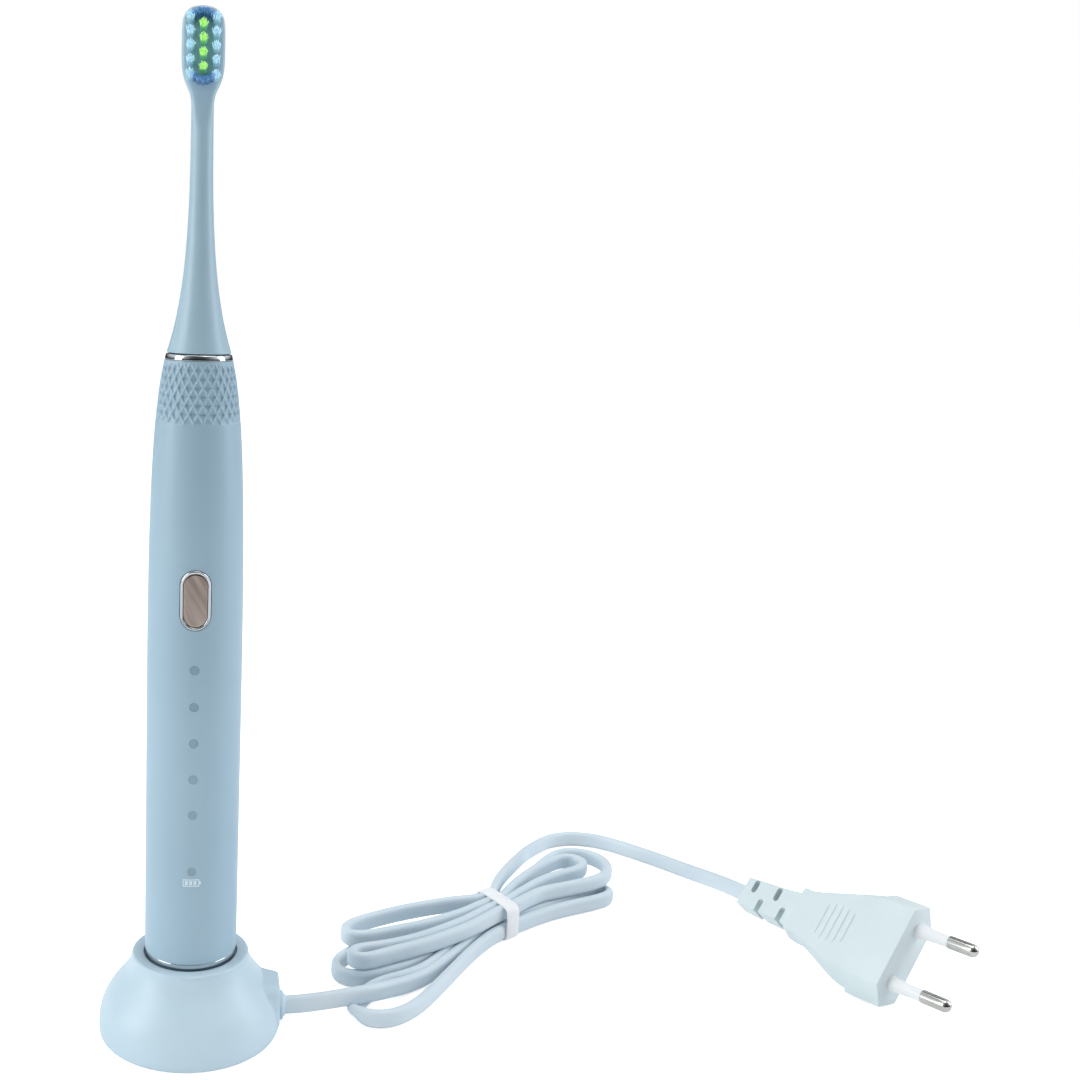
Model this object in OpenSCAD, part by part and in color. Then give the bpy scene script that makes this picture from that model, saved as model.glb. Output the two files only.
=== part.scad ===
// Sonic toothbrush standing on its inductive charger, with the charger's mains lead and plug.
// Millimetres, +Z up. The origin is the centre of the charger's underside.
// The button faces -Y and the lead leaves the charger along +X.

/* [Charger] */
// Radius of the charger's belly
base_r = 25.5; // [21:0.25:32]
// Height at which the belly is widest
belly_z = 3; // [2:0.5:5]
// Height of the ring-shaped top face
top_z = 23.4; // [20:0.2:30]
// Radius of the top face's outer edge
top_r = 16.4; // [15.5:0.1:20]
// Wall of the charger's shell
base_wall = 2; // [1.4:0.1:2.6]
// Depth of the seat that the handle stands in
seat_depth = 1.4; // [1:0.1:3]
// Radius of the charging post
post_r = 4.5; // [4:0.1:5.4]
// Height of the charging post above the seat
post_h = 13; // [9:0.5:18]
// Wall of the charging post
post_wall = 0.8; // [0.6:0.1:1]
// Thickness of the base plate
plate_t = 2; // [1.5:0.1:3]
// Height of the rubber foot ring below the base plate
foot_h = 0.8; // [0.5:0.1:1.5]
// Height of the lead's centre where it leaves the charger
lead_z = 5.6; // [5:0.1:8]

/* [Handle] */
// Radius of the handle
handle_r = 12.85; // [12:0.01:15.5]
// Radius of the handle's top edge
handle_top_r = 8.85; // [8:0.05:10]
// Length of the handle's shell
shell_l = 163.8; // [150:0.2:200]
// Wall of the handle's shell
shell_wall = 1.8; // [1.4:0.1:2.2]
// Height of the bare end cap under the shell
cap_reveal = 2.1; // [1.5:0.1:3]
// Height of the bright trim ring at the shell's foot
trim_h = 0.9; // [0.6:0.1:1.5]
// Height of the bright collar between handle and head
collar_h = 1.5; // [1:0.1:3]
// Radius of the battery
battery_r = 7; // [5:0.1:7.2]
// Length of the battery
battery_l = 49; // [40:0.2:59]
// Radius of the motor
motor_r = 6.5; // [5.5:0.1:6.6]
// Length of the motor
motor_l = 36; // [30:1:40]

/* [Controls] */
// Height of the button's centre above the shell's foot
button_up = 102.5; // [96:0.5:112]
// Width of the button's bezel
bezel_w = 8.3; // [7:0.1:9]
// Height of the button's bezel
bezel_h = 16.2; // [14:0.1:20]
// Width of the bezel's rim
bezel_rim = 0.8; // [0.5:0.05:1.2]
// Travel of the button
button_travel = 0.5; // [0.3:0.05:0.6]
// Number of mode lights
light_count = 5; // [3:1:5]
// Spacing of the mode lights
light_pitch = 10.05; // [8:0.05:10.5]
// Height of the lowest mode light above the shell's foot
light_up = 43.6; // [42:0.2:50]
// Height of the charge light above the shell's foot
charge_light_up = 27.4; // [26:0.2:36]
// Radius of a light's window
light_r = 1.2; // [0.8:0.05:1.5]

/* [Brush head] */
// Height of the brush head, skirt to tip
head_l = 84.8; // [75:0.2:95]
// Radius of the head's skirt
skirt_r = 8.4; // [7.5:0.05:9]
// Radius of the neck
neck_r = 2.9; // [2.6:0.05:3.6]
// Width of the bristle plate
plate_w = 10.7; // [9.5:0.1:13]
// Height of the bristle plate
plate_h = 21.5; // [19.8:0.1:26]
// Thickness of the bristle plate
plate_thick = 4; // [3.4:0.1:5]
// Length of the bristles
bristle_l = 10; // [7:0.2:12]
// Radius of a tuft
tuft_r = 0.75; // [0.5:0.05:0.85]
// Radius of the drive shaft
shaft_r = 1.75; // [1.5:0.05:2]
// Depth of the drive shaft inside the head
shaft_in = 20; // [14:0.5:22]

/* [Lead and plug] */
// Width of the flat lead
lead_w = 5.4; // [4.5:0.1:6]
// Thickness of the flat lead
lead_t = 3.2; // [2.6:0.1:3.6]
// Height of the tied hank
hank_h = 11; // [9:0.5:14]
// Width of the plug's face between its side edges
plug_w = 35.3; // [35.3:0.1:36]
// Width of the flat on the plug's face
plug_flat = 26.1; // [26:0.1:27]
// Thickness of the plug's face
plug_t = 13.7; // [13.7:0.1:15]
// Radius of a plug pin
pin_r = 2; // [2:0.1:2.4]
// Length of a plug pin outside the plug
pin_l = 19; // [18:0.5:20]
// Spacing of the pins at the plug's face
pin_pitch = 18.6; // [18:0.1:19]
// Length of the insulating sleeve on a pin
pin_sleeve_l = 10; // [9:0.5:11]

/* [Fits] */
// Gap between pieces that are assembled once
fit = 0.05; // [0.03:0.01:0.1]
// Running clearance of the shaft in its bushes
run = 0.03; // [0.02:0.005:0.06]
// Gap between pieces that the user parts
part_gap = 0.3; // [0.25:0.05:0.5]

/* [Hidden] */
$fn = 72;
eps = 0.01;

// heights up the charger
plate_z = foot_h;
cavity_z = plate_z + plate_t;
seat_z = top_z - seat_depth;
seat_floor = 2;
seat_r = handle_r + 0.2;
post_top = seat_z + post_h;
boss_x = base_r - 0.1;
gland_x = boss_x + 1.8;
neck_gland_r = lead_w/2 + 0.6;
flange_r = lead_w/2 + 1.5;
screw_r = base_r - 10.5;
screw_at = [60, 180, 300];

// heights up the handle
cap_z = seat_z;
trim_z = cap_z + cap_reveal;
shell_z = trim_z + trim_h;
shell_top = shell_z + shell_l;
collar_top = shell_top + collar_h;
inner_r = handle_r - shell_wall;
cap_r = handle_r - 0.6;
recess_r = post_r + 0.5;
recess_top = post_top + 1.5;
sleeve_r = recess_r + 1;
cap_plug_z = shell_z + 8;
coil_z = shell_z + 2.5;
battery_z = recess_top + 4;
battery_y = 2.4;
motor_z = battery_z + battery_l + 13;
board_y = -motor_r - 0.5;
board_t = 1.1;
board_face = board_y - board_t;
board_z = battery_z + 1;
board_l = shell_z + button_up + 12 - board_z;
board_w = 2 * sqrt(pow(inner_r - 0.35, 2) - pow(board_face, 2)) - 0.6;
button_z = shell_z + button_up;
switch_h = 1.6;
led_h = 0.7;
nose_r = handle_top_r - 2.4;
nose_z = shell_top - 9;
seal_r = nose_r - 1.9;

// heights up the brush head
head_z = collar_top + part_gap;
head_top = head_z + head_l;
neck_z = head_z + head_l * 0.535;
paddle_z = head_top - plate_h / 2;
plate_foot = head_top - plate_h;
plate_foot_r = plate_w * 0.43;
shaft_top = head_z + shaft_in;
socket_r = shaft_r + 1.15;
brush_y = -plate_thick / 2;

// plug: its place and turn, at the centre of the face that the pins leave
plug_at = [215.7, 5.2, 15.0];
plug_turn = [47, -3, -60];
pin_core_r = pin_r - 0.5;
pin_sleeve_r = pin_r - 0.2;
block_l = 12;
body_l = 27;
relief_l = 21;
relief_at = [185.7, 57.1, 11.9];
relief_in = [188.7, 51.9, 12.2];

// hank: waist of the bundle, the ends of its loops and their half widths
waist_at = [100, 55];
waist_turn = 30;
waist_w = 16;
tie_w = 5;
tie_t = 1.1;
left_loops = [[54, 42, 7.5], [53, 28, 8.5], [51, 20, 7], [57, -7, 8]];
right_loops = [[137, 82, 7.5], [143, 83, 8], [137, 71, 7.5]];

// routes of the free lead, charger to hank and hank to plug
lead_mid = lead_w / 2 + 0.02;
route_in = [[gland_x - 4, 0, lead_z], [gland_x + 1, 0, lead_z], [33, 1.2, 5.3], [39, 4.3, 4.4], [45, 7.6, 3.3],
            [50.5, 10.2, lead_mid], [56, 12.2, lead_mid], [61, 14.1, lead_mid], [66, 16.6, lead_mid]];
route_out = [[108, 68, 7.4], [112, 79, 7], [116, 90, 6], [120.5, 101, 4.6], [126, 111, 3.4],
             [133, 119, lead_mid], [141, 124, lead_mid], [149, 124.5, lead_mid],
             [156, 121.5, lead_mid], [163, 115.5, lead_mid], [169, 108, 3], [173.5, 99, 3.8],
             [177, 89, 5.4], [180, 79, 7.6], [182.7, 68, 10.1], relief_at, relief_in];

// ---- shared shapes and functions ----

// Points along a cubic curve with control points a, b, c, d
function bezier(a, b, c, d, n) = [for (i = [0:n]) let (t = i / n, s = 1 - t)
    s*s*s*a + 3*s*s*t*b + 3*s*t*t*c + t*t*t*d];

function turn_z(p, a) = [p[0]*cos(a) - p[1]*sin(a), p[0]*sin(a) + p[1]*cos(a)];

// A tube between two heights
module tube(r_out, r_in, z0, z1) {
    translate([0, 0, z0]) difference() {
        cylinder(r = r_out, h = z1 - z0);
        translate([0, 0, -1]) cylinder(r = r_in, h = z1 - z0 + 2);
    }
}

module disc(r, z0, z1) { translate([0, 0, z0]) cylinder(r = r, h = z1 - z0); }

// A box from its lowest to its highest corner
module box(lo, hi) { translate(lo) cube(hi - lo); }

// A flat shape with round ends, w wide in X and h high in Y
module slot_2d(w, h) {
    r = min(w, h) / 2;
    square([w, h] - (w < h ? [0, 2*r] : [2*r, 0]), center = true);
    for (s = [-1, 1]) translate(w < h ? [0, s*(h/2 - r)] : [s*(w/2 - r), 0]) circle(r = r);
}

// A flat shape stood up to face -Y, from y0 back to y1, centred at height z
module facing(z, y0, y1) {
    translate([0, y1, z]) rotate([90, 0, 0]) linear_extrude(y1 - y0) children();
}

// The flat tangent shape round two circles
module link_2d(p, rp, q, rq) {
    d = norm(q - p);
    a = atan2(q[1] - p[1], q[0] - p[0]);
    b = acos((rp - rq) / d);
    polygon([p + rp*[cos(a + b), sin(a + b)], p + rp*[cos(a - b), sin(a - b)],
             q + rq*[cos(a - b), sin(a - b)], q + rq*[cos(a + b), sin(a + b)]]);
    translate(p) circle(r = rp);
    translate(q) circle(r = rq);
}

// A closed sweep of the flat lead's section, standing on edge, along a route
module lead_sweep(route) {
    n = len(route);
    section = [for (k = [0:7]) let (a = 22.5 + 45*k)
        [lead_t/2 * cos(a) / cos(22.5), lead_w/2 * sin(a) / cos(22.5)]];
    points = [for (i = [0:n-1])
        let (t = route[min(i + 1, n - 1)] - route[max(i - 1, 0)],
             side = [-t[1], t[0], 0] / norm([t[1], t[0]]),
             up = cross(t, side) / norm(cross(t, side)))
        for (s = section) route[i] + s[0]*side + s[1]*up];
    sides = [for (i = [0:n-2]) for (k = [0:7]) let (j = (k + 1) % 8)
        each [[8*i + k, 8*i + 8 + k, 8*i + 8 + j], [8*i + k, 8*i + 8 + j, 8*i + j]]];
    polyhedron(points, concat([[for (k = [0:7]) k]], sides, [[for (k = [7:-1:0]) 8*(n-1) + k]]));
}

module at_plug() { translate(plug_at) rotate(plug_turn) children(); }

// ---- charger ----

// Outline of the bell, d mm inside its outer face
function bell(d, top) = bezier([base_r - d, belly_z], [base_r - d, belly_z + 10],
                               [top_r + 1.2 - d, top - 7.1], [top_r - d, top], 18);

module charger_shell() {
    color("#c5d9e4") difference() {
        union() {
            rotate_extrude() polygon(concat([[0, plate_z], [base_r - 1, plate_z], [base_r - 0.3, belly_z - 1.4]],
                bell(0, top_z - 0.7), [[top_r - 0.25, top_z - 0.2], [top_r - 0.8, top_z], [0, top_z]]));
            // block that the lead leaves through
            intersection() {
                translate([base_r - 10, 0, plate_z + 0.4]) rotate([90, 0, 90])
                    linear_extrude(boss_x - base_r + 10) translate([0, 7.4]) {
                        square([13, 10.8], center = true);
                        square([9, 14.8], center = true);
                        for (x = [-4.5, 4.5], z = [-5.4, 5.4]) translate([x, z]) circle(r = 2);
                    }
                disc(base_r + 3, 0, top_z - 6);
            }
        }
        rotate_extrude() polygon(concat([[0, -1], [base_r - base_wall, -1]],
            bell(base_wall, seat_z - seat_floor), [[0, seat_z - seat_floor]]));
        disc(seat_r, seat_z, top_z + 1);
        disc(post_r + fit, 0, top_z);
        translate([base_r - 12, 0, lead_z]) rotate([0, 90, 0]) cylinder(r = neck_gland_r + fit, h = 20);
    }
    color("#c5d9e4") for (a = screw_at) rotate(a) translate([screw_r, 0, 0]) difference() {
        disc(2.6, cavity_z + fit, seat_z - seat_floor + eps);
        disc(1, 0, cavity_z + 9);
    }
}

module charger_base_plate() {
    color("#b9cdd8") difference() {
        disc(base_r - base_wall - fit, plate_z, cavity_z);
        tube(foot_out + fit, foot_in - fit, 0, plate_z + foot_sink);
        for (a = screw_at) rotate(a) translate([screw_r, 0, 0]) {
            disc(1.3 + fit, 0, 5);
            disc(2.3 + fit, 0, plate_z + 0.8);
        }
        translate([base_r - 6, 0, lead_z]) rotate([0, 90, 0]) cylinder(r = neck_gland_r + fit, h = 10);
    }
    // posts that hold the board
    color("#b9cdd8") for (a = [0, 120, 240]) rotate(a + 20) translate([12, 0, 0])
        disc(1.6, cavity_z - eps, board_base - fit);
}
foot_in = base_r - 7;
foot_out = base_r - 3.5;
foot_sink = 0.6;
board_base = cavity_z + 2.2;

module foot_ring() { color("#8e9aa3") tube(foot_out, foot_in, 0, plate_z + foot_sink); }

module base_screws() {
    color("#9fa6ab") for (a = screw_at) rotate(a) translate([screw_r, 0, 0]) {
        difference() {
            disc(2.3, plate_z + 0.05, plate_z + 0.8);
            for (r = [0, 90]) rotate(r) box([-1.3, -0.25, 0], [1.3, 0.25, plate_z + 0.45]);
        }
        disc(0.95, plate_z + 0.8 - eps, cavity_z + 7);
    }
}

module charging_post() {
    color("#c5d9e4") difference() {
        union() {
            disc(post_r, seat_z - seat_floor, post_top - 1);
            translate([0, 0, post_top - 1]) cylinder(r1 = post_r, r2 = post_r - 1, h = 1);
            disc(post_r + 2, seat_z - seat_floor - 1, seat_z - seat_floor - fit);
            disc(post_r, seat_z - seat_floor - 0.5, seat_z - seat_floor + 0.5);
        }
        disc(post_r - post_wall, 0, post_top - 1.2);
    }
}

core_z = board_base + 3;
core_top = post_top - 1.6;

module ferrite_core() { color("#3b3d40") disc(1.8, core_z, core_top); }

module primary_coil() {
    color("#b4713b") tube(post_r - post_wall - 0.2, 1.8 + fit, seat_z + 0.5, core_top - 0.6);
}

module charger_board() {
    color("#3c7a55") difference() {
        disc(base_r - 6.5, board_base, board_base + 1.6);
        for (a = screw_at) rotate(a) translate([screw_r, 0, 0]) disc(3, 0, 20);
    }
    color("#e3e3dc") tube(3.4, 1.8 + fit, board_base + 1.6 - eps, core_z + 2);
}

module smoothing_capacitor() {
    color("#2f3b52") translate([-6, -9, 0]) disc(3.2, board_base + 1.65, board_base + 10.5);
}

module driver_transformer() {
    color("#c9a33a") box([5, -6, board_base + 1.65], [13, 0.6, board_base + 9]);
}

module cable_gland() {
    color("#c9dbe5") difference() {
        union() {
            translate([boss_x + fit, 0, lead_z]) rotate([0, 90, 0]) cylinder(r = flange_r, h = gland_x - boss_x - fit);
            translate([base_r - 5, 0, lead_z]) rotate([0, 90, 0]) cylinder(r = neck_gland_r, h = 6);
        }
        translate([base_r - 6, 0, lead_z]) rotate([90, 0, 90])
            linear_extrude(gland_x - base_r + 8) slot_2d(lead_t, lead_w);
    }
}

// ---- lead and plug ----

module lead_in() { color("#d3dfe8") lead_sweep(route_in); }
module lead_out() { color("#d3dfe8") lead_sweep(route_out); }

module lead_hank() {
    color("#d3dfe8") difference() {
        linear_extrude(hank_h)
            for (p = concat(left_loops, right_loops)) link_2d(waist_at, waist_w/2, [p[0], p[1]], p[2]);
        translate([waist_at[0], waist_at[1], 0]) rotate(waist_turn) {
            box([-tie_w/2 - fit, -waist_w, -1], [tie_w/2 + fit, waist_w, tie_t + fit]);
            for (s = [0, 180]) rotate(s)
                box([-tie_w/2 - fit, waist_w/2 - 0.2, -1], [tie_w/2 + fit, waist_w, hank_h + 1]);
        }
    }
}

module hank_tie() {
    color("#eef3f6") translate([waist_at[0], waist_at[1], 0]) rotate(waist_turn)
        translate([-tie_w/2, 0, 0]) rotate([90, 0, 90]) linear_extrude(tie_w) difference() {
            translate([-waist_w/2 - tie_t, 0]) square([waist_w + 2*tie_t, hank_h + tie_t + fit]);
            translate([-waist_w/2, tie_t]) square([waist_w, hank_h - tie_t + fit]);
        }
}

// The plug's six-sided face, grown outwards by g
module plug_face(g) {
    w = plug_w/2 + g;
    f = plug_flat/2 + g/2;
    t = plug_t/2 + g;
    polygon([[w, 0], [f, t], [-f, t], [-w, 0], [-f, -t], [f, -t]]);
}

// Half width of the plug's body, x mm behind its face block
function waist(x) = let (u = x / body_l) plug_w/2 - 0.9 - (plug_w/2 - 8.2) * (u*u*(3 - 2*u));

module plug_grip_block() {
    color("#dfecf1") at_plug() difference() {
        translate([-block_l, 0, 0]) rotate([90, 0, 90]) linear_extrude(block_l) plug_face(0);
        for (s = [-1, 1]) translate([-9, s * pin_pitch/2, 0]) rotate([0, 90, 0]) cylinder(r = pin_core_r + fit, h = 12);
    }
}

module plug_body() {
    color("#e3f0f4") at_plug() translate([-block_l - fit, 0, 0]) rotate([0, 0, 180]) intersection() {
        translate([0, 0, -plug_t/2]) linear_extrude(plug_t) polygon(concat(
            [for (i = [0:12]) [i*body_l/12, waist(i*body_l/12)]],
            [for (i = [12:-1:0]) [i*body_l/12, -waist(i*body_l/12)]]));
        rotate([90, 0, 90]) linear_extrude(body_l) plug_face(-0.45);
        // thickness falls towards the lead
        rotate([90, 0, 0]) translate([0, 0, -plug_w]) linear_extrude(2*plug_w)
            polygon([[0, 6.5], [body_l*0.45, 6.4], [body_l, 5], [body_l, -5], [body_l*0.45, -6.4], [0, -6.5]]);
    }
}

module plug_strain_relief() {
    color("#e3f0f4") at_plug() translate([-block_l - body_l - 2*fit, 0, 0]) rotate([0, 0, 180]) difference() {
        intersection() {
            translate([0, 0, -5]) linear_extrude(10)
                polygon([[0, 6.4], [4, 5.8], [relief_l, 5], [relief_l, -5], [4, -5.8], [0, -6.4]]);
            rotate([90, 0, 0]) translate([0, 0, -10]) linear_extrude(20)
                polygon([[0, 4.6], [4, 4.2], [relief_l, 3.6], [relief_l, -3.6], [4, -4.2], [0, -4.6]]);
        }
        translate([-1, 0, 0]) rotate([90, 0, 90]) linear_extrude(relief_l + 2) slot_2d(lead_w, lead_t);
        // staggered slots that let the sleeve bend
        for (i = [0:3]) translate([3.6 + 3.9*i, (i % 2 == 0 ? -1 : 1) * 4.3, 0]) box([0, -2.1, -6], [1.5, 2.1, 6]);
    }
}

module pin_sleeves() {
    color("#f4f6f6") at_plug() for (s = [-1, 1]) translate([0, s * pin_pitch/2, 0]) rotate([0, 90, 0]) difference() {
        union() {
            translate([0, 0, fit]) cylinder(r1 = pin_r + 0.4, r2 = pin_sleeve_r, h = 6);
            translate([0, 0, 6 - eps]) cylinder(r = pin_sleeve_r, h = pin_sleeve_l - 6);
        }
        translate([0, 0, -1]) cylinder(r = pin_core_r + fit, h = pin_l + 2);
    }
}

module plug_pins() {
    color("#cfd0cd") at_plug() for (s = [-1, 1]) translate([0, s * pin_pitch/2, 0]) rotate([0, 90, 0]) {
        translate([0, 0, -8]) cylinder(r = pin_core_r, h = pin_sleeve_l + 9);
        translate([0, 0, pin_sleeve_l + fit]) cylinder(r = pin_r, h = pin_l - pin_r - pin_sleeve_l - fit);
        translate([0, 0, pin_l - pin_r]) sphere(r = pin_r);
    }
}

// ---- handle ----

// Outline of the handle's shell, d mm inside its outer face
function barrel(d) = bezier([handle_r - d, shell_z + 65], [handle_r - d, shell_z + 105],
    [handle_r - 0.05 - d, shell_top - 14.8 - d], [handle_top_r - d, shell_top - d*1.6], 20);

// The space inside the shell, less a gap g all round
module bore_space(g) {
    rotate_extrude() polygon(concat([[0, shell_z - 1], [inner_r - g, shell_z - 1]],
        barrel(shell_wall + g), [[0, shell_top - (shell_wall + g)*1.6]]));
}

module light_holes(r) {
    for (i = [0:light_count-1]) facing(shell_z + light_up + i*light_pitch, -20, board_face) circle(r = r);
    facing(shell_z + charge_light_up, -20, board_face) circle(r = r);
}

module handle_shell() {
    color("#a9bfce") difference() {
        rotate_extrude() polygon(concat([[0, shell_z], [handle_r - 0.2, shell_z], [handle_r, shell_z + 0.2]],
            barrel(0), [[0, shell_top]]));
        bore_space(0);
        disc(nose_r, shell_top - 10, shell_top + 1);
        facing(button_z, -20, 0) slot_2d(bezel_w, bezel_h);
        light_holes(light_r + fit);
    }
}

module end_cap() {
    color("#4c555c") difference() {
        union() {
            disc(cap_r - 0.5, cap_z, cap_z + 0.5);
            disc(cap_r, cap_z + 0.5 - eps, shell_z);
            disc(inner_r - fit, shell_z - eps, cap_plug_z);
            disc(sleeve_r, cap_z, recess_top + 1.2);
        }
        disc(recess_r, cap_z - 1, recess_top);
        tube(inner_r - 1.6, sleeve_r, coil_z, cap_plug_z + 1);
        tube(cap_r + 1, cap_r - 0.6, trim_z, shell_z);
        rotate_extrude() translate([inner_r - 0.35, shell_z + 5]) circle(r = 0.75);
    }
}

module end_cap_oring() {
    color("#23272b") rotate_extrude() translate([inner_r - 0.35 - 0.35, shell_z + 5]) circle(r = 0.36);
}

module end_trim() {
    color("#d9dde0") difference() {
        union() {
            disc(handle_r - 0.15, trim_z + 0.2, shell_z - fit);
            translate([0, 0, trim_z + fit]) cylinder(r1 = handle_r - 0.35, r2 = handle_r - 0.15, h = 0.2);
        }
        disc(cap_r - 0.6 + fit, 0, 60);
    }
}

module secondary_coil() { color("#b4713b") tube(inner_r - 1.6 - 0.4, sleeve_r + fit, coil_z + fit, recess_top); }

// Tray behind the battery and the board, held in the shell's back half
module chassis() {
    color("#dfe3e4") difference() {
        intersection() {
            union() {
                tube(inner_r, inner_r - 1.3, battery_z - 2, motor_z + motor_l + 4);
                for (z = [battery_z - 2, battery_z + battery_l + 0.2, motor_z + motor_l + 2.5])
                    disc(inner_r - 0.8, z, z + 1.5);
            }
            bore_space(0.1);
        }
        box([-20, -20, 0], [20, -2.5, 300]);
        disc(shaft_r + 2, motor_z - 2, 300);
        translate([0, battery_y, 0]) disc(battery_r + 0.1, battery_z - 0.1, battery_z + battery_l + 0.1);
        disc(motor_r + 0.1, motor_z - 0.1, motor_z + motor_l + 0.1);
    }
}

module battery() {
    color("#5f7fb0") translate([0, battery_y, 0]) {
        disc(battery_r, battery_z, battery_z + battery_l - 1.2);
        disc(battery_r - 4, battery_z + battery_l - 1.2 - eps, battery_z + battery_l - 0.3);
    }
}

// Nickel strips from the cell's ends to the board
module battery_tabs() {
    color("#c7c9c6") for (z = [battery_z - 0.35, battery_z + battery_l - 0.25])
        box([-1.5, board_y + 0.1, z], [1.5, battery_y + 2, z + 0.3]);
}

module main_board() {
    color("#2f6f4c") difference() {
        box([-board_w/2, board_face, board_z], [board_w/2, board_y, board_z + board_l]);
        for (z = [board_z + 3, board_z + board_l - 3]) translate([board_w/2 - 2, 0, z])
            rotate([90, 0, 0]) cylinder(r = 0.9, h = 30, center = true);
    }
}

module controller_chip() {
    color("#26282b") box([-2.5, board_y + fit, motor_z - 9], [2.5, board_y + 1, motor_z - 4]);
}

module board_leds() {
    color("#eef2e8") {
        for (i = [0:light_count-1]) led(shell_z + light_up + i*light_pitch);
        led(shell_z + charge_light_up);
    }
}
module led(z) { box([-0.8, board_face - led_h, z - 0.8], [0.8, board_face - fit, z + 0.8]); }

// A light guide whose face is flush with the shell
module light_window(z) {
    intersection() {
        facing(z, -20, board_face - led_h - 0.2) circle(r = light_r);
        disc(handle_r + 0.02, 0, 300);
    }
}

module mode_light_windows() {
    color("#8ba3b3") for (i = [0:light_count-1]) light_window(shell_z + light_up + i*light_pitch);
}
module charge_light_window() { color("#8ba3b3") light_window(shell_z + charge_light_up); }

module button_switch() {
    color("#c2c5c2") box([-2.25, board_face - switch_h, button_z - 2.25], [2.25, board_face - fit, button_z + 2.25]);
    color("#2c2e31") facing(button_z, board_face - switch_h - 0.4, board_face - switch_h + eps) circle(r = 0.9);
}

bezel_face = handle_r - 0.1;

module button_bezel() {
    color("#d5d8da") intersection() {
        facing(button_z, -20, 0) difference() {
            slot_2d(bezel_w - 2*fit, bezel_h - 2*fit);
            slot_2d(bezel_w - 2*bezel_rim, bezel_h - 2*bezel_rim);
        }
        tube(bezel_face, inner_r - 0.4, button_z - bezel_h, button_z + bezel_h);
    }
}

module power_button() {
    gap = 0.12;
    color("#93867f") intersection() {
        facing(button_z, -20, 0) slot_2d(bezel_w - 2*bezel_rim - 2*gap, bezel_h - 2*bezel_rim - 2*gap);
        tube(bezel_face - 0.2, inner_r + 0.1, button_z - bezel_h, button_z + bezel_h);
    }
    color("#4a4f54") facing(button_z, -inner_r - 0.3, board_face - switch_h - 0.45 - button_travel) circle(r = 1.2);
}

// ---- motor ----

module motor_can() {
    color("#b8bcbf") difference() {
        disc(motor_r, motor_z, motor_z + motor_l);
        disc(motor_r - 0.7, motor_z + 1, motor_z + motor_l - 1);
        disc(bush_r + fit, 0, 300);
    }
}
bush_r = shaft_r + 1.1;

module motor_bushes() {
    color("#b0883f") for (z = [motor_z - 0.2, motor_z + motor_l - 3.8])
        tube(bush_r, shaft_r + run, z, z + 4);
}

module stator_winding() {
    color("#b4713b") for (s = [0, 1]) rotate(180*s) difference() {
        tube(motor_r - 0.8, motor_r - 1.8, motor_z + 7, motor_z + motor_l - 7);
        box([-20, -1, 0], [20, 20, 300]);
    }
}

module rotor_magnet() { color("#6b7075") tube(motor_r - 2.2, shaft_r + fit, motor_z + 8, motor_z + motor_l - 8); }

module drive_shaft() {
    color("#c9ccce") difference() {
        union() {
            disc(shaft_r, motor_z - 1, shaft_top - 0.5);
            translate([0, 0, shaft_top - 0.5]) cylinder(r1 = shaft_r, r2 = shaft_r - 0.5, h = 0.5);
        }
        // flat that turns the head
        box([-5, shaft_r - 0.5, head_z + 4], [5, 5, shaft_top + 1]);
    }
}

module motor_damper() {
    color("#6f767c") tube(inner_r - 1.5, shaft_r + 1.2, motor_z + motor_l + 4.2, motor_z + motor_l + 7);
}

// ---- handle top ----

module nose_cap() {
    color("#a9bfce") difference() {
        union() {
            disc(nose_r - fit, shell_top - 4.8, collar_top);
            disc(nose_r - 1, nose_z, shell_top - 4.8 + eps);
        }
        disc(seal_r, shell_top - 5.5, collar_top + 1);
        disc(shaft_r + 0.6, 0, 300);
    }
}

module shaft_seal() {
    color("#39424a") tube(seal_r - fit, shaft_r + run, shell_top - 5.5 + fit, collar_top + 0.8);
}

module top_collar() {
    color("#c9ccce") difference() {
        translate([0, 0, shell_top + fit])
            cylinder(r1 = handle_top_r - 0.05, r2 = skirt_r + 0.05, h = collar_h - fit);
        disc(nose_r + fit, 0, 300);
    }
}

// ---- brush head ----

module brush_head_shell() {
    color("#a9c0ce") difference() {
        union() {
            rotate_extrude() polygon(concat([[0, head_z]],
                bezier([skirt_r, head_z], [skirt_r*0.667, head_z + head_l*0.105],
                       [neck_r + 0.4, head_z + head_l*0.23], [neck_r, neck_z], 18),
                [[neck_r, plate_foot - 6], [plate_thick/2, plate_foot], [plate_thick/2, plate_foot + 3],
                 [0, plate_foot + 3]]));
            facing(paddle_z, -plate_thick/2, plate_thick/2) plate_2d();
        }
        disc(socket_r + fit, head_z - 1, shaft_top + 1.6);
        disc(seal_r + part_gap, head_z - 1, collar_top + 0.8 + part_gap + 0.6);
        tuft_holes();
    }
}

// Outline of the bristle plate: a broad tip, a narrower foot and a flare from the neck
module plate_2d() {
    link_2d([0, plate_h/2 - plate_w/2], plate_w/2, [0, plate_foot_r - plate_h/2], plate_foot_r);
    flare = bezier([neck_r - 0.6, -4.5 - plate_h/2], [neck_r, -2 - plate_h/2],
                   [plate_foot_r*0.8, 0.2 - plate_h/2], [plate_foot_r, plate_foot_r - plate_h/2], 8);
    polygon(concat(flare, [for (i = [8:-1:0]) [-flare[i][0], flare[i][1]]]));
}

module shaft_socket() {
    color("#e8e8e2") difference() {
        disc(socket_r, head_z + 2, shaft_top + 1.5);
        difference() {
            disc(shaft_r + run, 0, shaft_top + 0.5);
            box([-5, shaft_r - 0.5 + run, head_z + 4.2], [5, 5, 400]);
        }
        tube(socket_r + 1, socket_r - 0.55, shaft_top - 8, shaft_top - 6.6);
    }
}

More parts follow.
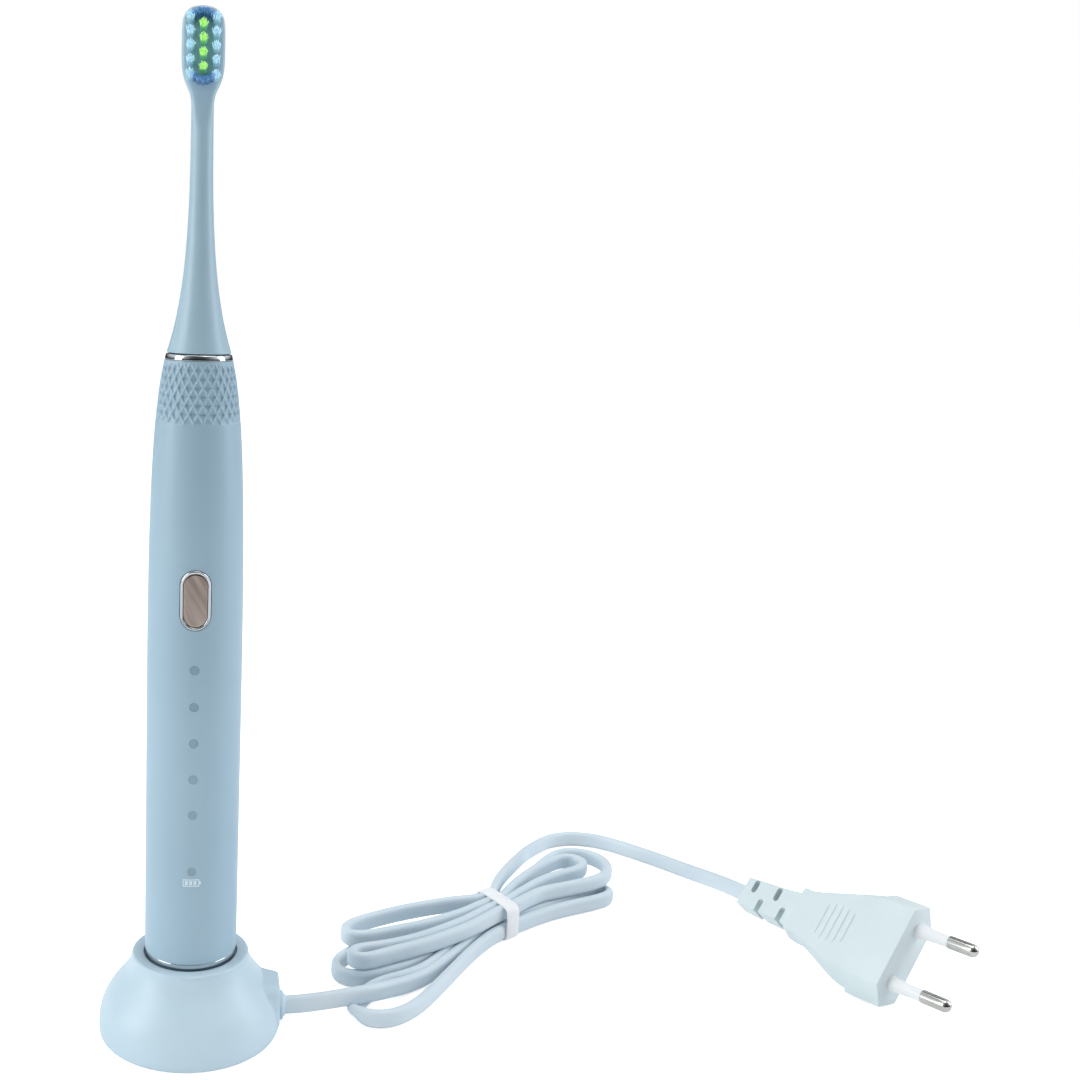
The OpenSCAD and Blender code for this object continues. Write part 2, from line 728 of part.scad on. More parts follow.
module socket_clip() {
    color("#c7c9c6") difference() {
        tube(socket_r, socket_r - 0.5, shaft_top - 8 + fit, shaft_top - 6.6 - fit);
        box([-0.8, 0, 0], [0.8, 10, 400]);
    }
}

// Places of the tufts on the bristle plate, as [x, height above the plate's centre]
tuft_dx = plate_w * 0.295;
tuft_dz = plate_h * 0.155;
green_at = [for (i = [-1.5:1:1.5]) [0, i*tuft_dz]];
white_at = [for (s = [-1, 1]) for (i = [-2:2]) [s*tuft_dx, i*tuft_dz]];
blue_at = [for (s = [-1, 1]) for (i = [-2:2])
    [i*plate_w*0.125, s*(plate_h/2 - 1.8 - abs(i)*abs(i)*plate_w*0.021)]];

module tufts(places, r, l) {
    for (p = places) facing(paddle_z + p[1], brush_y - l, brush_y + 1.6) translate([p[0], 0]) circle(r = r, $fn = 24);
}
module tuft_holes() {
    for (group = [green_at, white_at]) tufts(group, tuft_r + 0.02, 5);
    tufts(blue_at, tuft_r*0.8 + 0.02, 5);
}
module bristles_green() { color("#8fdc8c") tufts(green_at, tuft_r, bristle_l); }
module bristles_white() { color("#e6f2f4") tufts(white_at, tuft_r, bristle_l - 0.4); }
module bristles_blue() { color("#6f9fd0") tufts(blue_at, tuft_r*0.8, bristle_l + 0.6); }

charger_shell();
charger_base_plate();
foot_ring();
base_screws();
charging_post();
ferrite_core();
primary_coil();
charger_board();
smoothing_capacitor();
driver_transformer();
cable_gland();
lead_in();
lead_hank();
lead_out();
hank_tie();
plug_body();
plug_grip_block();
plug_strain_relief();
pin_sleeves();
plug_pins();
end_cap();
end_cap_oring();
end_trim();
secondary_coil();
handle_shell();
chassis();
battery();
battery_tabs();
main_board();
controller_chip();
board_leds();
mode_light_windows();
charge_light_window();
button_switch();
button_bezel();
power_button();
motor_can();
motor_bushes();
stator_winding();
rotor_magnet();
drive_shaft();
motor_damper();
nose_cap();
shaft_seal();
top_collar();
brush_head_shell();
shaft_socket();
socket_clip();
bristles_green();
bristles_white();
bristles_blue();
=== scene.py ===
"""Electric toothbrush on its charger, with a flat lead tied in a hank and a two-pin plug.

Laid out as an add-on: the sizes and colours are properties, each group of pieces is an operator, and main() calls
them in order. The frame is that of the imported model: the charger stands at the origin, +Z is up, the button and the
bristles face -Y, and the lead leaves towards +X. A piece's shape is written in millimetres, and piece() turns it to
metres; the stage is written in metres.
"""

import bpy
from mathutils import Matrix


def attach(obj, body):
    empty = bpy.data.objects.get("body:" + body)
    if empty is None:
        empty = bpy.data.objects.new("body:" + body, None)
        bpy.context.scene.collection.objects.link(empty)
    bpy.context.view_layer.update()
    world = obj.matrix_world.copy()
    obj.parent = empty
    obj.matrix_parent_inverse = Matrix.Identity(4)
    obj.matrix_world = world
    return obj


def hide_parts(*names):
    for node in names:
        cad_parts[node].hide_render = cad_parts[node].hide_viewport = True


bl_info = {
    "name": "Toothbrush on charger",
    "version": (1, 0, 0),
    "blender": (4, 5, 0),
    "location": "3D View > Sidebar > Toothbrush",
    "description": "Builds a sonic toothbrush, its charging base, lead and plug around the packed model",
    "category": "Add Mesh",
}

import math

import bmesh
import bpy
import numpy as np
from mathutils import Euler, Matrix, Vector

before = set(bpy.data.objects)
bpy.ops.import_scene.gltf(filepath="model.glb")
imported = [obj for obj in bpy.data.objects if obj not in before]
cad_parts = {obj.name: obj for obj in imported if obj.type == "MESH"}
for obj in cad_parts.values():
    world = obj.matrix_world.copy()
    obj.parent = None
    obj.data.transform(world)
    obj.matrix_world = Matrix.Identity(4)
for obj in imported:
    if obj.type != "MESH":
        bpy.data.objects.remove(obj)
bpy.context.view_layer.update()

MM = 0.001
TAU = 2 * math.pi

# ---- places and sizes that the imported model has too, in millimetres ----

LEAD_W, LEAD_T = 5.4, 3.2                     # the flat lead's section
GLAND_X, LEAD_Z = 27.2, 5.6                   # where the lead leaves its gland
HANK_AT, HANK_TURN = (100, 55), 30
PLUG_AT, PLUG_TURN = (215.7, 5.2, 15.0), (47, -3, -60)
BODY_X, BODY_L, PIN_Y = -11.6, 25.6, 9.3      # the plug's body in the plug's own frame, half the pitch of its pins
BASE_R, TOP_R, BELLY_Z, TOP_Z, BELL_WALL = 25.5, 16.4, 3.0, 23.4, 2.0
SEAT_Z, SEAT_R, POST_R = 22.0, 13.05, 4.55    # the charger's cup, and the bore for its post
HANDLE_R, HANDLE_TOP_R, WALL = 12.85, 8.85, 1.8
SHELL_Z, STRAIGHT_Z, SHELL_TOP, NOSE_R = 25.0, 90.0, 188.8, 6.45   # the handle is straight up to STRAIGHT_Z
HEAD_Z, HEAD_TOP, NECK_R, SKIRT_R, PLATE_H = 190.6, 275.4, 2.9, 8.4, 21.5
BUTTON_Z, BEZEL_W, BEZEL_H, BEZEL_RIM, BEZEL_R, BUTTON_R = 127.5, 8.3, 16.2, 0.8, 12.75, 12.6
LIGHT_R, LIGHTS_Z = 1.25, [52.4] + [68.6 + 10.05 * i for i in range(5)]

# ---- places and sizes of what only this file makes, in millimetres ----

GRIP_LOW, GRIP_HIGH = 173.4, 187.9
SIGN_Z = 49.2
BOSS_X, BOSS_HALF_Y, BOSS_HALF_Z, BOSS_Z = 25.4, 7.1, 6.5, 7.7
TIE_HALF_V, TIE_HALF_H, TIE_Z = 9.0, 5.95, 6.02
# painted shade and painted glow on the filaments: their colour turns from a deep painted shade at the roots to pale
# over the first pair of y values, and their painted glow grows from the given share of its strength to all of it over
# the second pair
ROOT_SHADE_Y, PAINTED_GLOW_Y, PAINTED_GLOW_START = (-6.0, -11.2), (-9.0, -11.4), 0.55
GOLDEN_TURN = 2.39996                         # radians from one filament of a tuft to the next
# middle height of the lead: lying on the table, on top of the hank, and both again under the tie
LOW, HIGH, TIED_LOW, TIED_HIGH = 2.72, 8.15, 3.45, 8.95


# ---- nodes and finishes ----

def linear(code):
    """sRGB hex colour to linear RGBA, by the piecewise sRGB curve."""
    c = np.array([int(code[i:i + 2], 16) / 255 for i in (1, 3, 5)])
    c = np.where(c <= 0.04045, c / 12.92, ((c + 0.055) / 1.055) ** 2.4)
    return (*c.tolist(), 1.0)


def add(tree, kind, values=None, links=None, **settings):
    """Adds a node: settings are its own attributes, values its sockets' numbers, links its sockets' sources."""
    node = tree.nodes.new("ShaderNode" + kind)
    for name, value in settings.items():
        setattr(node, name, value)
    for name, value in (values or {}).items():
        node.inputs[name].default_value = value
    for name, source in (links or {}).items():
        tree.links.new(source, node.inputs[name])
    return node


def finish(name, colour, second, roughness, metallic, patch_mm=8.0, grain_mm=0.3, depth_mm=0.01, spread=0.06,
           stretch=(1, 1, 1), turn=0.0, rings_mm=0.0, tips=None):
    """A procedural finish. Broad noise of patch_mm mixes the two linear colours, fine noise of grain_mm moves the
    roughness by spread and raises a bump of depth_mm; stretch and turn (degrees about Y) draw both noises out;
    rings_mm puts rounded rings that far apart in the bump's place, as on a winding; tips, (deep colour, glow),
    paints shade on bristles towards their roots and a painted glow on their front ends."""
    made = bpy.data.materials.get(name)
    if made:
        return made
    material = bpy.data.materials.new(name)
    material.use_nodes = True
    tree = material.node_tree
    tree.nodes.clear()
    place = add(tree, "TexCoord").outputs["Object"]
    grown = add(tree, "Mapping", {"Scale": tuple(1 / k for k in stretch), "Rotation": (0, math.radians(turn), 0)},
                {"Vector": place}, vector_type="TEXTURE").outputs["Vector"]
    patch = add(tree, "TexNoise", {"Scale": 1 / (patch_mm * MM), "Detail": 3.0, "Roughness": 0.5}, {"Vector": grown})
    grain = add(tree, "TexNoise", {"Scale": 1 / (grain_mm * MM), "Detail": 2.0, "Roughness": 0.6}, {"Vector": grown})
    share = add(tree, "MapRange", {"From Min": 0.3, "From Max": 0.7}, {"Value": patch.outputs["Fac"]})
    tint = add(tree, "Mix", {"A": colour, "B": second}, {"Factor": share.outputs["Result"]},
               data_type="RGBA").outputs["Result"]
    rough = add(tree, "MapRange", {"To Min": max(0.02, roughness - spread), "To Max": min(1.0, roughness + spread)},
                {"Value": grain.outputs["Fac"]})
    height, relief = grain.outputs["Fac"], depth_mm
    if rings_mm:   # at scale 1 a wave's bands are a full turn divided by 20 apart
        height = add(tree, "TexWave", {"Scale": TAU / (20 * rings_mm * MM), "Distortion": 0.0}, {"Vector": place},
                     wave_type="BANDS", bands_direction="Z").outputs["Fac"]
        relief = rings_mm / 4
    bump = add(tree, "Bump", {"Strength": 1.0, "Distance": relief * MM}, {"Height": height})
    body = add(tree, "BsdfPrincipled", {"Metallic": metallic},
               {"Base Color": tint, "Roughness": rough.outputs["Result"], "Normal": bump.outputs["Normal"]})
    # painted shade darkens the bristles towards their roots, and a painted glow, though they are no lamp, brightens
    # their front ends
    if tips:
        deep, glow = tips
        front = add(tree, "SeparateXYZ", None, {"Vector": place}).outputs["Y"]
        near = add(tree, "MapRange", {"From Min": ROOT_SHADE_Y[0] * MM, "From Max": ROOT_SHADE_Y[1] * MM}, {"Value": front})
        painted_glow_strength = add(tree, "MapRange", {"From Min": PAINTED_GLOW_Y[0] * MM, "From Max": PAINTED_GLOW_Y[1] * MM,
                                     "To Min": PAINTED_GLOW_START * glow, "To Max": glow}, {"Value": front})
        root_shaded_tint = add(tree, "Mix", {"A": linear(deep)}, {"Factor": near.outputs["Result"], "B": tint}, data_type="RGBA")
        for socket, source in (("Base Color", root_shaded_tint), ("Emission Color", root_shaded_tint), ("Emission Strength", painted_glow_strength)):
            tree.links.new(source.outputs["Result"], body.inputs[socket])
    add(tree, "OutputMaterial", None, {"Surface": body.outputs["BSDF"]})
    return material


# name: (colour, second colour, roughness, metallic, other settings)
FINISHES = {
    # pale blue ABS, satin tool face: soft broad highlight, hardly any grain
    "satin_abs_charger": ("#BED4E0", "#C6DAE5", 0.36, 0, dict(grain_mm=0.35, depth_mm=0.004, patch_mm=30)),
    # the same plastic under the base, left coarser by the tool
    "textured_abs_plate": ("#B2C8D4", "#BACFDA", 0.55, 0, dict(grain_mm=0.5, depth_mm=0.03)),
    # soft silicone rubber foot: dull, a little dusty
    "silicone_foot": ("#8C98A1", "#97A2AA", 0.8, 0, dict(grain_mm=0.4, depth_mm=0.02)),
    # zinc plated steel screws: grey, fine turned marks
    "zinc_steel": ("#A9AEB2", "#8F959A", 0.34, 1, dict(grain_mm=0.2, depth_mm=0.006)),
    # sintered ferrite: near black, dry
    "sintered_ferrite": ("#35383B", "#3E4144", 0.7, 0, dict(grain_mm=0.2, depth_mm=0.01)),
    # enamelled copper, wound in turns of 0.4 mm
    "wound_copper": ("#B4713B", "#9A5A2B", 0.3, 1, dict(rings_mm=0.4, patch_mm=2)),
    # glass epoxy board under green solder mask
    "green_board": ("#2F6B4A", "#387A55", 0.35, 0, dict(grain_mm=0.6, depth_mm=0.008, patch_mm=4)),
    # shrunk PVC sleeve of a can capacitor
    "shrunk_sleeve": ("#2F3B52", "#38465F", 0.3, 0, dict(grain_mm=0.8, depth_mm=0.01)),
    # yellow polyester tape in layers over a winding
    "polyester_tape": ("#C9A33A", "#D4B04A", 0.4, 0, dict(rings_mm=1.2, patch_mm=3)),
    # soft PVC lead, satin, faint drawing marks along it
    "soft_pvc_lead": ("#D2E1EA", "#DAE6ED", 0.42, 0, dict(grain_mm=0.5, depth_mm=0.006, patch_mm=25)),
    # white coated paper tie, slightly fibrous
    "coated_paper": ("#FCFDFE", "#F3F6F8", 0.5, 0, dict(grain_mm=0.35, depth_mm=0.015, patch_mm=3)),
    # pale PVC moulded over the plug, spark eroded tool face
    "moulded_pvc_plug": ("#D9E7E9", "#E0ECEE", 0.4, 0, dict(grain_mm=0.3, depth_mm=0.008, patch_mm=20)),
    # white polyamide sleeve on the pins
    "white_polyamide": ("#F3F5F6", "#ECEFF1", 0.35, 0, dict(grain_mm=0.3, depth_mm=0.004)),
    # nickel plated brass: bright, drawn along the pin
    "nickel_plate": ("#CFCEC9", "#BDBBB5", 0.16, 1, dict(grain_mm=0.25, depth_mm=0.002, spread=0.05)),
    # grey blue ABS foot cap, fine matt texture
    "slate_abs_cap": ("#5B7283", "#657B8B", 0.45, 0, dict(grain_mm=0.3, depth_mm=0.012)),
    # black nitrile seal, slightly greased
    "nitrile_seal": ("#23272B", "#2A2E32", 0.4, 0, dict(grain_mm=0.3, depth_mm=0.01)),
    # chromium plated rings: mirror with faint waviness
    "chrome_plate": ("#D4D8DB", "#C6CACD", 0.09, 1, dict(grain_mm=2.2, depth_mm=0.06, spread=0.04)),
    # soft satin handle, grey blue ABS with a matt clear coat
    "satin_abs_handle": ("#9DB9C9", "#A3BECD", 0.36, 0, dict(grain_mm=0.3, depth_mm=0.004, patch_mm=40)),
    # white ABS frame inside the handle
    "white_abs_frame": ("#DFE3E4", "#D6DADC", 0.5, 0, dict(grain_mm=0.5, depth_mm=0.01)),
    # printed film round the cell
    "cell_film": ("#5C7F9A", "#66899F", 0.3, 0, dict(grain_mm=1.0, depth_mm=0.006, patch_mm=10)),
    # black epoxy chip package
    "epoxy_package": ("#26292C", "#2D3033", 0.5, 0, dict(grain_mm=0.15, depth_mm=0.008)),
    # clear yellowish light emitting diode lens
    "diode_lens": ("#EDEBD8", "#E3E0C8", 0.15, 0, dict(grain_mm=0.4, depth_mm=0.003)),
    # frosted light windows, flush with the handle and hardly darker than it
    "frosted_window": ("#829EAD", "#8AA5B3", 0.3, 0, dict(grain_mm=0.4, depth_mm=0.002)),
    # rose bronze mirror of the button, vacuum metallised with shallow flow marks in its bump; the paler diagonal
    # streaks in its colour are painted reflections
    "rose_mirror": ("#897A72", "#AFA097", 0.16, 1, dict(grain_mm=2.0, depth_mm=0.03, spread=0.08, patch_mm=1.6,
                                                        stretch=(1, 1, 0.1), turn=-27)),
    # deep drawn steel motor can
    "drawn_steel": ("#B5B9BC", "#A3A8AC", 0.28, 1, dict(grain_mm=0.3, depth_mm=0.004, stretch=(1, 1, 0.1))),
    # oil filled sintered bronze
    "sintered_bronze": ("#A9823C", "#8F6C30", 0.45, 1, dict(grain_mm=0.15, depth_mm=0.01)),
    # nickel coated rare earth magnet
    "coated_magnet": ("#9EA2A6", "#8E9296", 0.25, 1, dict(grain_mm=0.3, depth_mm=0.003)),
    # same blue as the handle, polypropylene: a touch glossier and paler
    "satin_pp_head": ("#A5C0CE", "#AAC5D2", 0.34, 0, dict(grain_mm=0.3, depth_mm=0.003, patch_mm=30)),
    # natural acetal socket
    "natural_acetal": ("#E6E6E0", "#DEDED7", 0.4, 0, dict(grain_mm=0.4, depth_mm=0.004)),
    # nylon filaments, green, white and blue: painted shade darkens them towards the roots, and a painted glow brightens
    # their front ends
    "green_nylon": ("#B2F07C", "#E4FFB0", 0.3, 0, dict(patch_mm=0.35, grain_mm=0.2, depth_mm=0.002,
                                                       tips=("#6CC98C", 0.32))),
    "white_nylon": ("#E9F8FD", "#B0DDF0", 0.28, 0, dict(patch_mm=0.35, grain_mm=0.2, depth_mm=0.002,
                                                        tips=("#A4CFDF", 0.28))),
    "blue_nylon": ("#4E88C4", "#8CBFEA", 0.28, 0, dict(patch_mm=0.35, grain_mm=0.2, depth_mm=0.002,
                                                       tips=("#4478AC", 0.2))),
    # pale print on the handle: a little glossier than the plastic
    "pad_print": ("#DCEAF2", "#D3E3EC", 0.3, 0, dict(grain_mm=0.3, depth_mm=0.002)),
}
# record's material slot: finish of the carried-over nodes that use it
SLOT_FINISH = {
    "charger_plastic": "satin_abs_charger", "plate_plastic": "textured_abs_plate", "foot_rubber": "silicone_foot",
    "steel": "zinc_steel", "ferrite": "sintered_ferrite", "copper_wire": "wound_copper", "circuit_board": "green_board",
    "capacitor_sleeve": "shrunk_sleeve", "transformer_tape": "polyester_tape", "lead_pvc": "soft_pvc_lead",
    "tie_band": "coated_paper", "plug_plastic": "moulded_pvc_plug", "pin_sleeve": "white_polyamide",
    "nickel": "nickel_plate", "cap_plastic": "slate_abs_cap", "seal_rubber": "nitrile_seal",
    "bright_trim": "chrome_plate", "handle_plastic": "satin_abs_handle", "chassis_plastic": "white_abs_frame",
    "cell_wrap": "cell_film", "chip_epoxy": "epoxy_package", "led_lens": "diode_lens",
    "light_window": "frosted_window", "button_mirror": "rose_mirror", "motor_steel": "drawn_steel",
    "bronze_bush": "sintered_bronze", "magnet": "coated_magnet", "head_plastic": "satin_pp_head",
    "socket_plastic": "natural_acetal", "bristle_green": "green_nylon", "bristle_white": "white_nylon",
    "bristle_blue": "blue_nylon",
}


# finish: the colour property that tints it
TINTED = {"satin_abs_charger": "charger", "satin_abs_handle": "handle", "satin_pp_head": "head",
          "soft_pvc_lead": "lead", "moulded_pvc_plug": "plug", "rose_mirror": "button"}


def coat(name):
    """The named finish from the table. A colour property stands in for the first colour of a tinted finish, and its
    second colour keeps its share of the first, channel by channel."""
    colour, second, roughness, metallic, rest = FINISHES[name]
    colour, second = linear(colour), linear(second)
    if name in TINTED:
        chosen = tuple(getattr(bpy.context.scene.brush_colours, TINTED[name]))
        colour, second = chosen, tuple(min(1.0, c * s / f) for c, s, f in zip(chosen, second, colour))
    return finish(name, colour, second, roughness, metallic, **rest)


# ---- surfaces ----

def bezier(a, b, c, d, count=24):
    """Points of the cubic with ends a, d and handles b, c: (1-t)^3 a + 3(1-t)^2 t b + 3(1-t) t^2 c + t^3 d."""
    t = np.linspace(0, 1, count + 1)[:, None]
    a, b, c, d = (np.array(p, float) for p in (a, b, c, d))
    return (1 - t) ** 3 * a + 3 * (1 - t) ** 2 * t * b + 3 * (1 - t) * t * t * c + t ** 3 * d


def grid_faces(rows, columns, wrap_rows=False, start=0):
    """Quads between neighbouring rows of a grid whose columns close on themselves."""
    i = np.arange(rows if wrap_rows else rows - 1)[:, None]
    j = np.arange(columns)[None, :]
    k, l = (i + 1) % rows, (j + 1) % columns
    return start + np.stack([i * columns + j, i * columns + l, k * columns + l, k * columns + j], -1).reshape(-1, 4)


def tube_mesh(grids, wrap_rows=False, capped=True):
    """Vertices and faces of several closed tubes. Each grid is (rows, columns, 3), and the end rows get a fan to their
    middle."""
    verts, quads, fans, start = [], [], [], 0
    for g in grids:
        rows, columns = g.shape[:2]
        verts.append(g.reshape(-1, 3))
        quads.append(grid_faces(rows, columns, wrap_rows, start))
        if capped and not wrap_rows:
            verts.append(np.stack([g[0].mean(0), g[-1].mean(0)]))
            j = np.arange(columns)
            l = (j + 1) % columns
            first, last = start + rows * columns, start + rows * columns + 1
            fans.append(np.stack([np.full(columns, first), start + l, start + j], -1))
            top = start + (rows - 1) * columns
            fans.append(np.stack([np.full(columns, last), top + j, top + l], -1))
            start += 2
        start += rows * columns
    faces = np.concatenate(quads).tolist() + (np.concatenate(fans).tolist() if fans else [])
    return np.concatenate(verts), faces


def piece(name, shape, body, slot_name, *replaced, material=None, crease=32.0):
    """Puts a shape, (verts, faces) in mm, in the scene in metres, faces outwards, smooth but for edges sharper than
    crease degrees. Its finish is its slot's, unless material names another."""
    verts, faces = shape
    mesh = bpy.data.meshes.new(name)
    mesh.from_pydata((np.asarray(verts) * MM).tolist(), [], faces)
    obj = bpy.data.objects.new(name, mesh)
    bpy.context.scene.collection.objects.link(obj)
    outwards(mesh)
    soften(mesh, crease)
    mesh.materials.append(coat(material or SLOT_FINISH[slot_name]))
    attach(obj, body)
    if replaced:
        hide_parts(*replaced)
    return obj


def outwards(mesh):
    """Merges doubled points and turns every face of the closed mesh outwards."""
    work = bmesh.new()
    work.from_mesh(mesh)
    bmesh.ops.remove_doubles(work, verts=work.verts, dist=1e-7)
    bmesh.ops.recalc_face_normals(work, faces=work.faces)
    work.to_mesh(mesh)
    work.free()


def soften(mesh, crease):
    """Smooth shading, with a sharp edge wherever two faces meet at more than crease degrees."""
    mesh.shade_smooth()
    mesh.set_sharp_from_angle(angle=math.radians(crease))


def turned(profile, columns=96, axis="z", at=(0, 0, 0)):
    """A profile of (radius, height) turned round an axis: x = r cos a, y = r sin a, z = h."""
    p = np.asarray(profile, float)
    a = np.arange(columns) / columns * TAU
    r, h = p[:, :1], np.repeat(p[:, 1:2], columns, 1)
    x, y = r * np.cos(a), r * np.sin(a)
    order = (x, y, h) if axis == "z" else (h, x, y)
    return np.stack(order, -1) + np.array(at, float)


def cut(obj, cutters, crease):
    """Takes closed cutter shapes, (verts, faces) in mm, out of the piece, and bakes the result into its mesh."""
    made = []
    for verts, faces in cutters:
        mesh = bpy.data.meshes.new("cutter")
        mesh.from_pydata((np.asarray(verts) * MM).tolist(), [], faces)
        outwards(mesh)
        tool = bpy.data.objects.new("cutter", mesh)
        bpy.context.scene.collection.objects.link(tool)
        made.append(tool)
        step = obj.modifiers.new("opening", "BOOLEAN")
        step.operation, step.object, step.solver = "DIFFERENCE", tool, "EXACT"
    settle(obj, crease)
    for tool in made:
        bpy.data.objects.remove(tool)


def settle(obj, crease):
    """Bakes the piece's modifiers into its mesh."""
    bpy.context.view_layer.update()
    graph = bpy.context.evaluated_depsgraph_get()
    mesh = bpy.data.meshes.new_from_object(obj.evaluated_get(graph), depsgraph=graph)
    old = obj.data
    obj.modifiers.clear()
    obj.data = mesh
    if not mesh.materials:
        mesh.materials.append(old.materials[0])
    soften(mesh, crease)


def rounded(obj, width_mm, angle):
    """Rounds the piece's edges that turn by more than angle degrees, then bakes them in."""
    bevel = obj.modifiers.new("edges", "BEVEL")
    bevel.width, bevel.segments = width_mm * MM, 3
    bevel.limit_method, bevel.angle_limit = "ANGLE", math.radians(angle)
    bevel.harden_normals = False
    settle(obj, 50.0)


def stadium(half_w, half_h, count=96):
    """Points of an upright rounded slot, evenly spaced, and their normals: half circles of radius half_w, whose
    middles are half_h - half_w above and below the origin, on straight sides."""
    side = half_h - half_w
    around = np.pi * half_w
    whole = 4 * side + 2 * around
    s = (np.arange(count) + 0.5) / count * whole
    s = np.where(s >= whole - side, s - whole, s)
    x, z, nx, nz = (np.zeros(count) for _ in range(4))
    right = s < side
    x[right], z[right], nx[right] = half_w, s[right], 1
    top = (s >= side) & (s < side + around)
    a = (s[top] - side) / half_w
    x[top], z[top], nx[top], nz[top] = half_w * np.cos(a), side + half_w * np.sin(a), np.cos(a), np.sin(a)
    left = (s >= side + around) & (s < 3 * side + around)
    x[left], z[left], nx[left] = -half_w, side - (s[left] - side - around), -1
    low = s >= 3 * side + around
    a = np.pi + (s[low] - 3 * side - around) / half_w
    x[low], z[low], nx[low], nz[low] = half_w * np.cos(a), -side + half_w * np.sin(a), np.cos(a), np.sin(a)
    return x, z, nx, nz


def punch(x, z):
    """A cutter for the handle's front wall: the outline (x, z) carried straight from y = -20 to y = -5."""
    far = np.stack([x, np.full(len(x), -20.0), z], -1)
    return tube_mesh([np.stack([far, far + [0, 15, 0]])])


# ---- shapes shared by pieces ----

def shell_radius(z, inset=0.0):
    """Radius of the handle's outside at height z, or of its inside when inset is the wall: a cubic that leaves the
    straight lower part upright and leans in towards the ring."""
    rise = bezier((HANDLE_R - inset, STRAIGHT_Z), (HANDLE_R - inset, STRAIGHT_Z + 40),
                  (HANDLE_R - 0.05 - inset, SHELL_TOP - 14.8 - inset),
                  (HANDLE_TOP_R - inset, SHELL_TOP - inset * 1.6), 80)
    return np.interp(z, rise[:, 1], rise[:, 0])


def bell_radius(z, inset=0.0, top=22.7):
    """Radius of the charger's flare at height z, inset by its wall for the inside: a cubic that leaves the belly
    upright and reaches the lip leaning in."""
    rise = bezier((BASE_R - inset, BELLY_Z), (BASE_R - inset, BELLY_Z + 10),
                  (TOP_R + 1.2 - inset, top - 7.1), (TOP_R - inset, top), 80)
    return np.interp(z, rise[:, 1], rise[:, 0])


def hank_point(t, v, z):
    """A point of the hank: t along the bundle from its tie, v across it towards the back, z up."""
    a = math.radians(HANK_TURN)
    return (HANK_AT[0] + t * math.cos(a) - v * math.sin(a), HANK_AT[1] + t * math.sin(a) + v * math.cos(a), z)


# the lead's way in: (x, y, z), out of the gland, down, and over the lowest loop
WAY_IN = [(GLAND_X - 3, 0, LEAD_Z), (GLAND_X, 0, LEAD_Z), (30, 0.15, 5.6), (33, 0.7, 5.55), (39, 1.9, 5.6),
          (45, 3.3, 5.75), (50, 4.4, 5.9), (55, 7.0, 5.3), (60, 10.9, 4.2), (66, 15.6, 3.1), (73, 21.4, 2.8)]
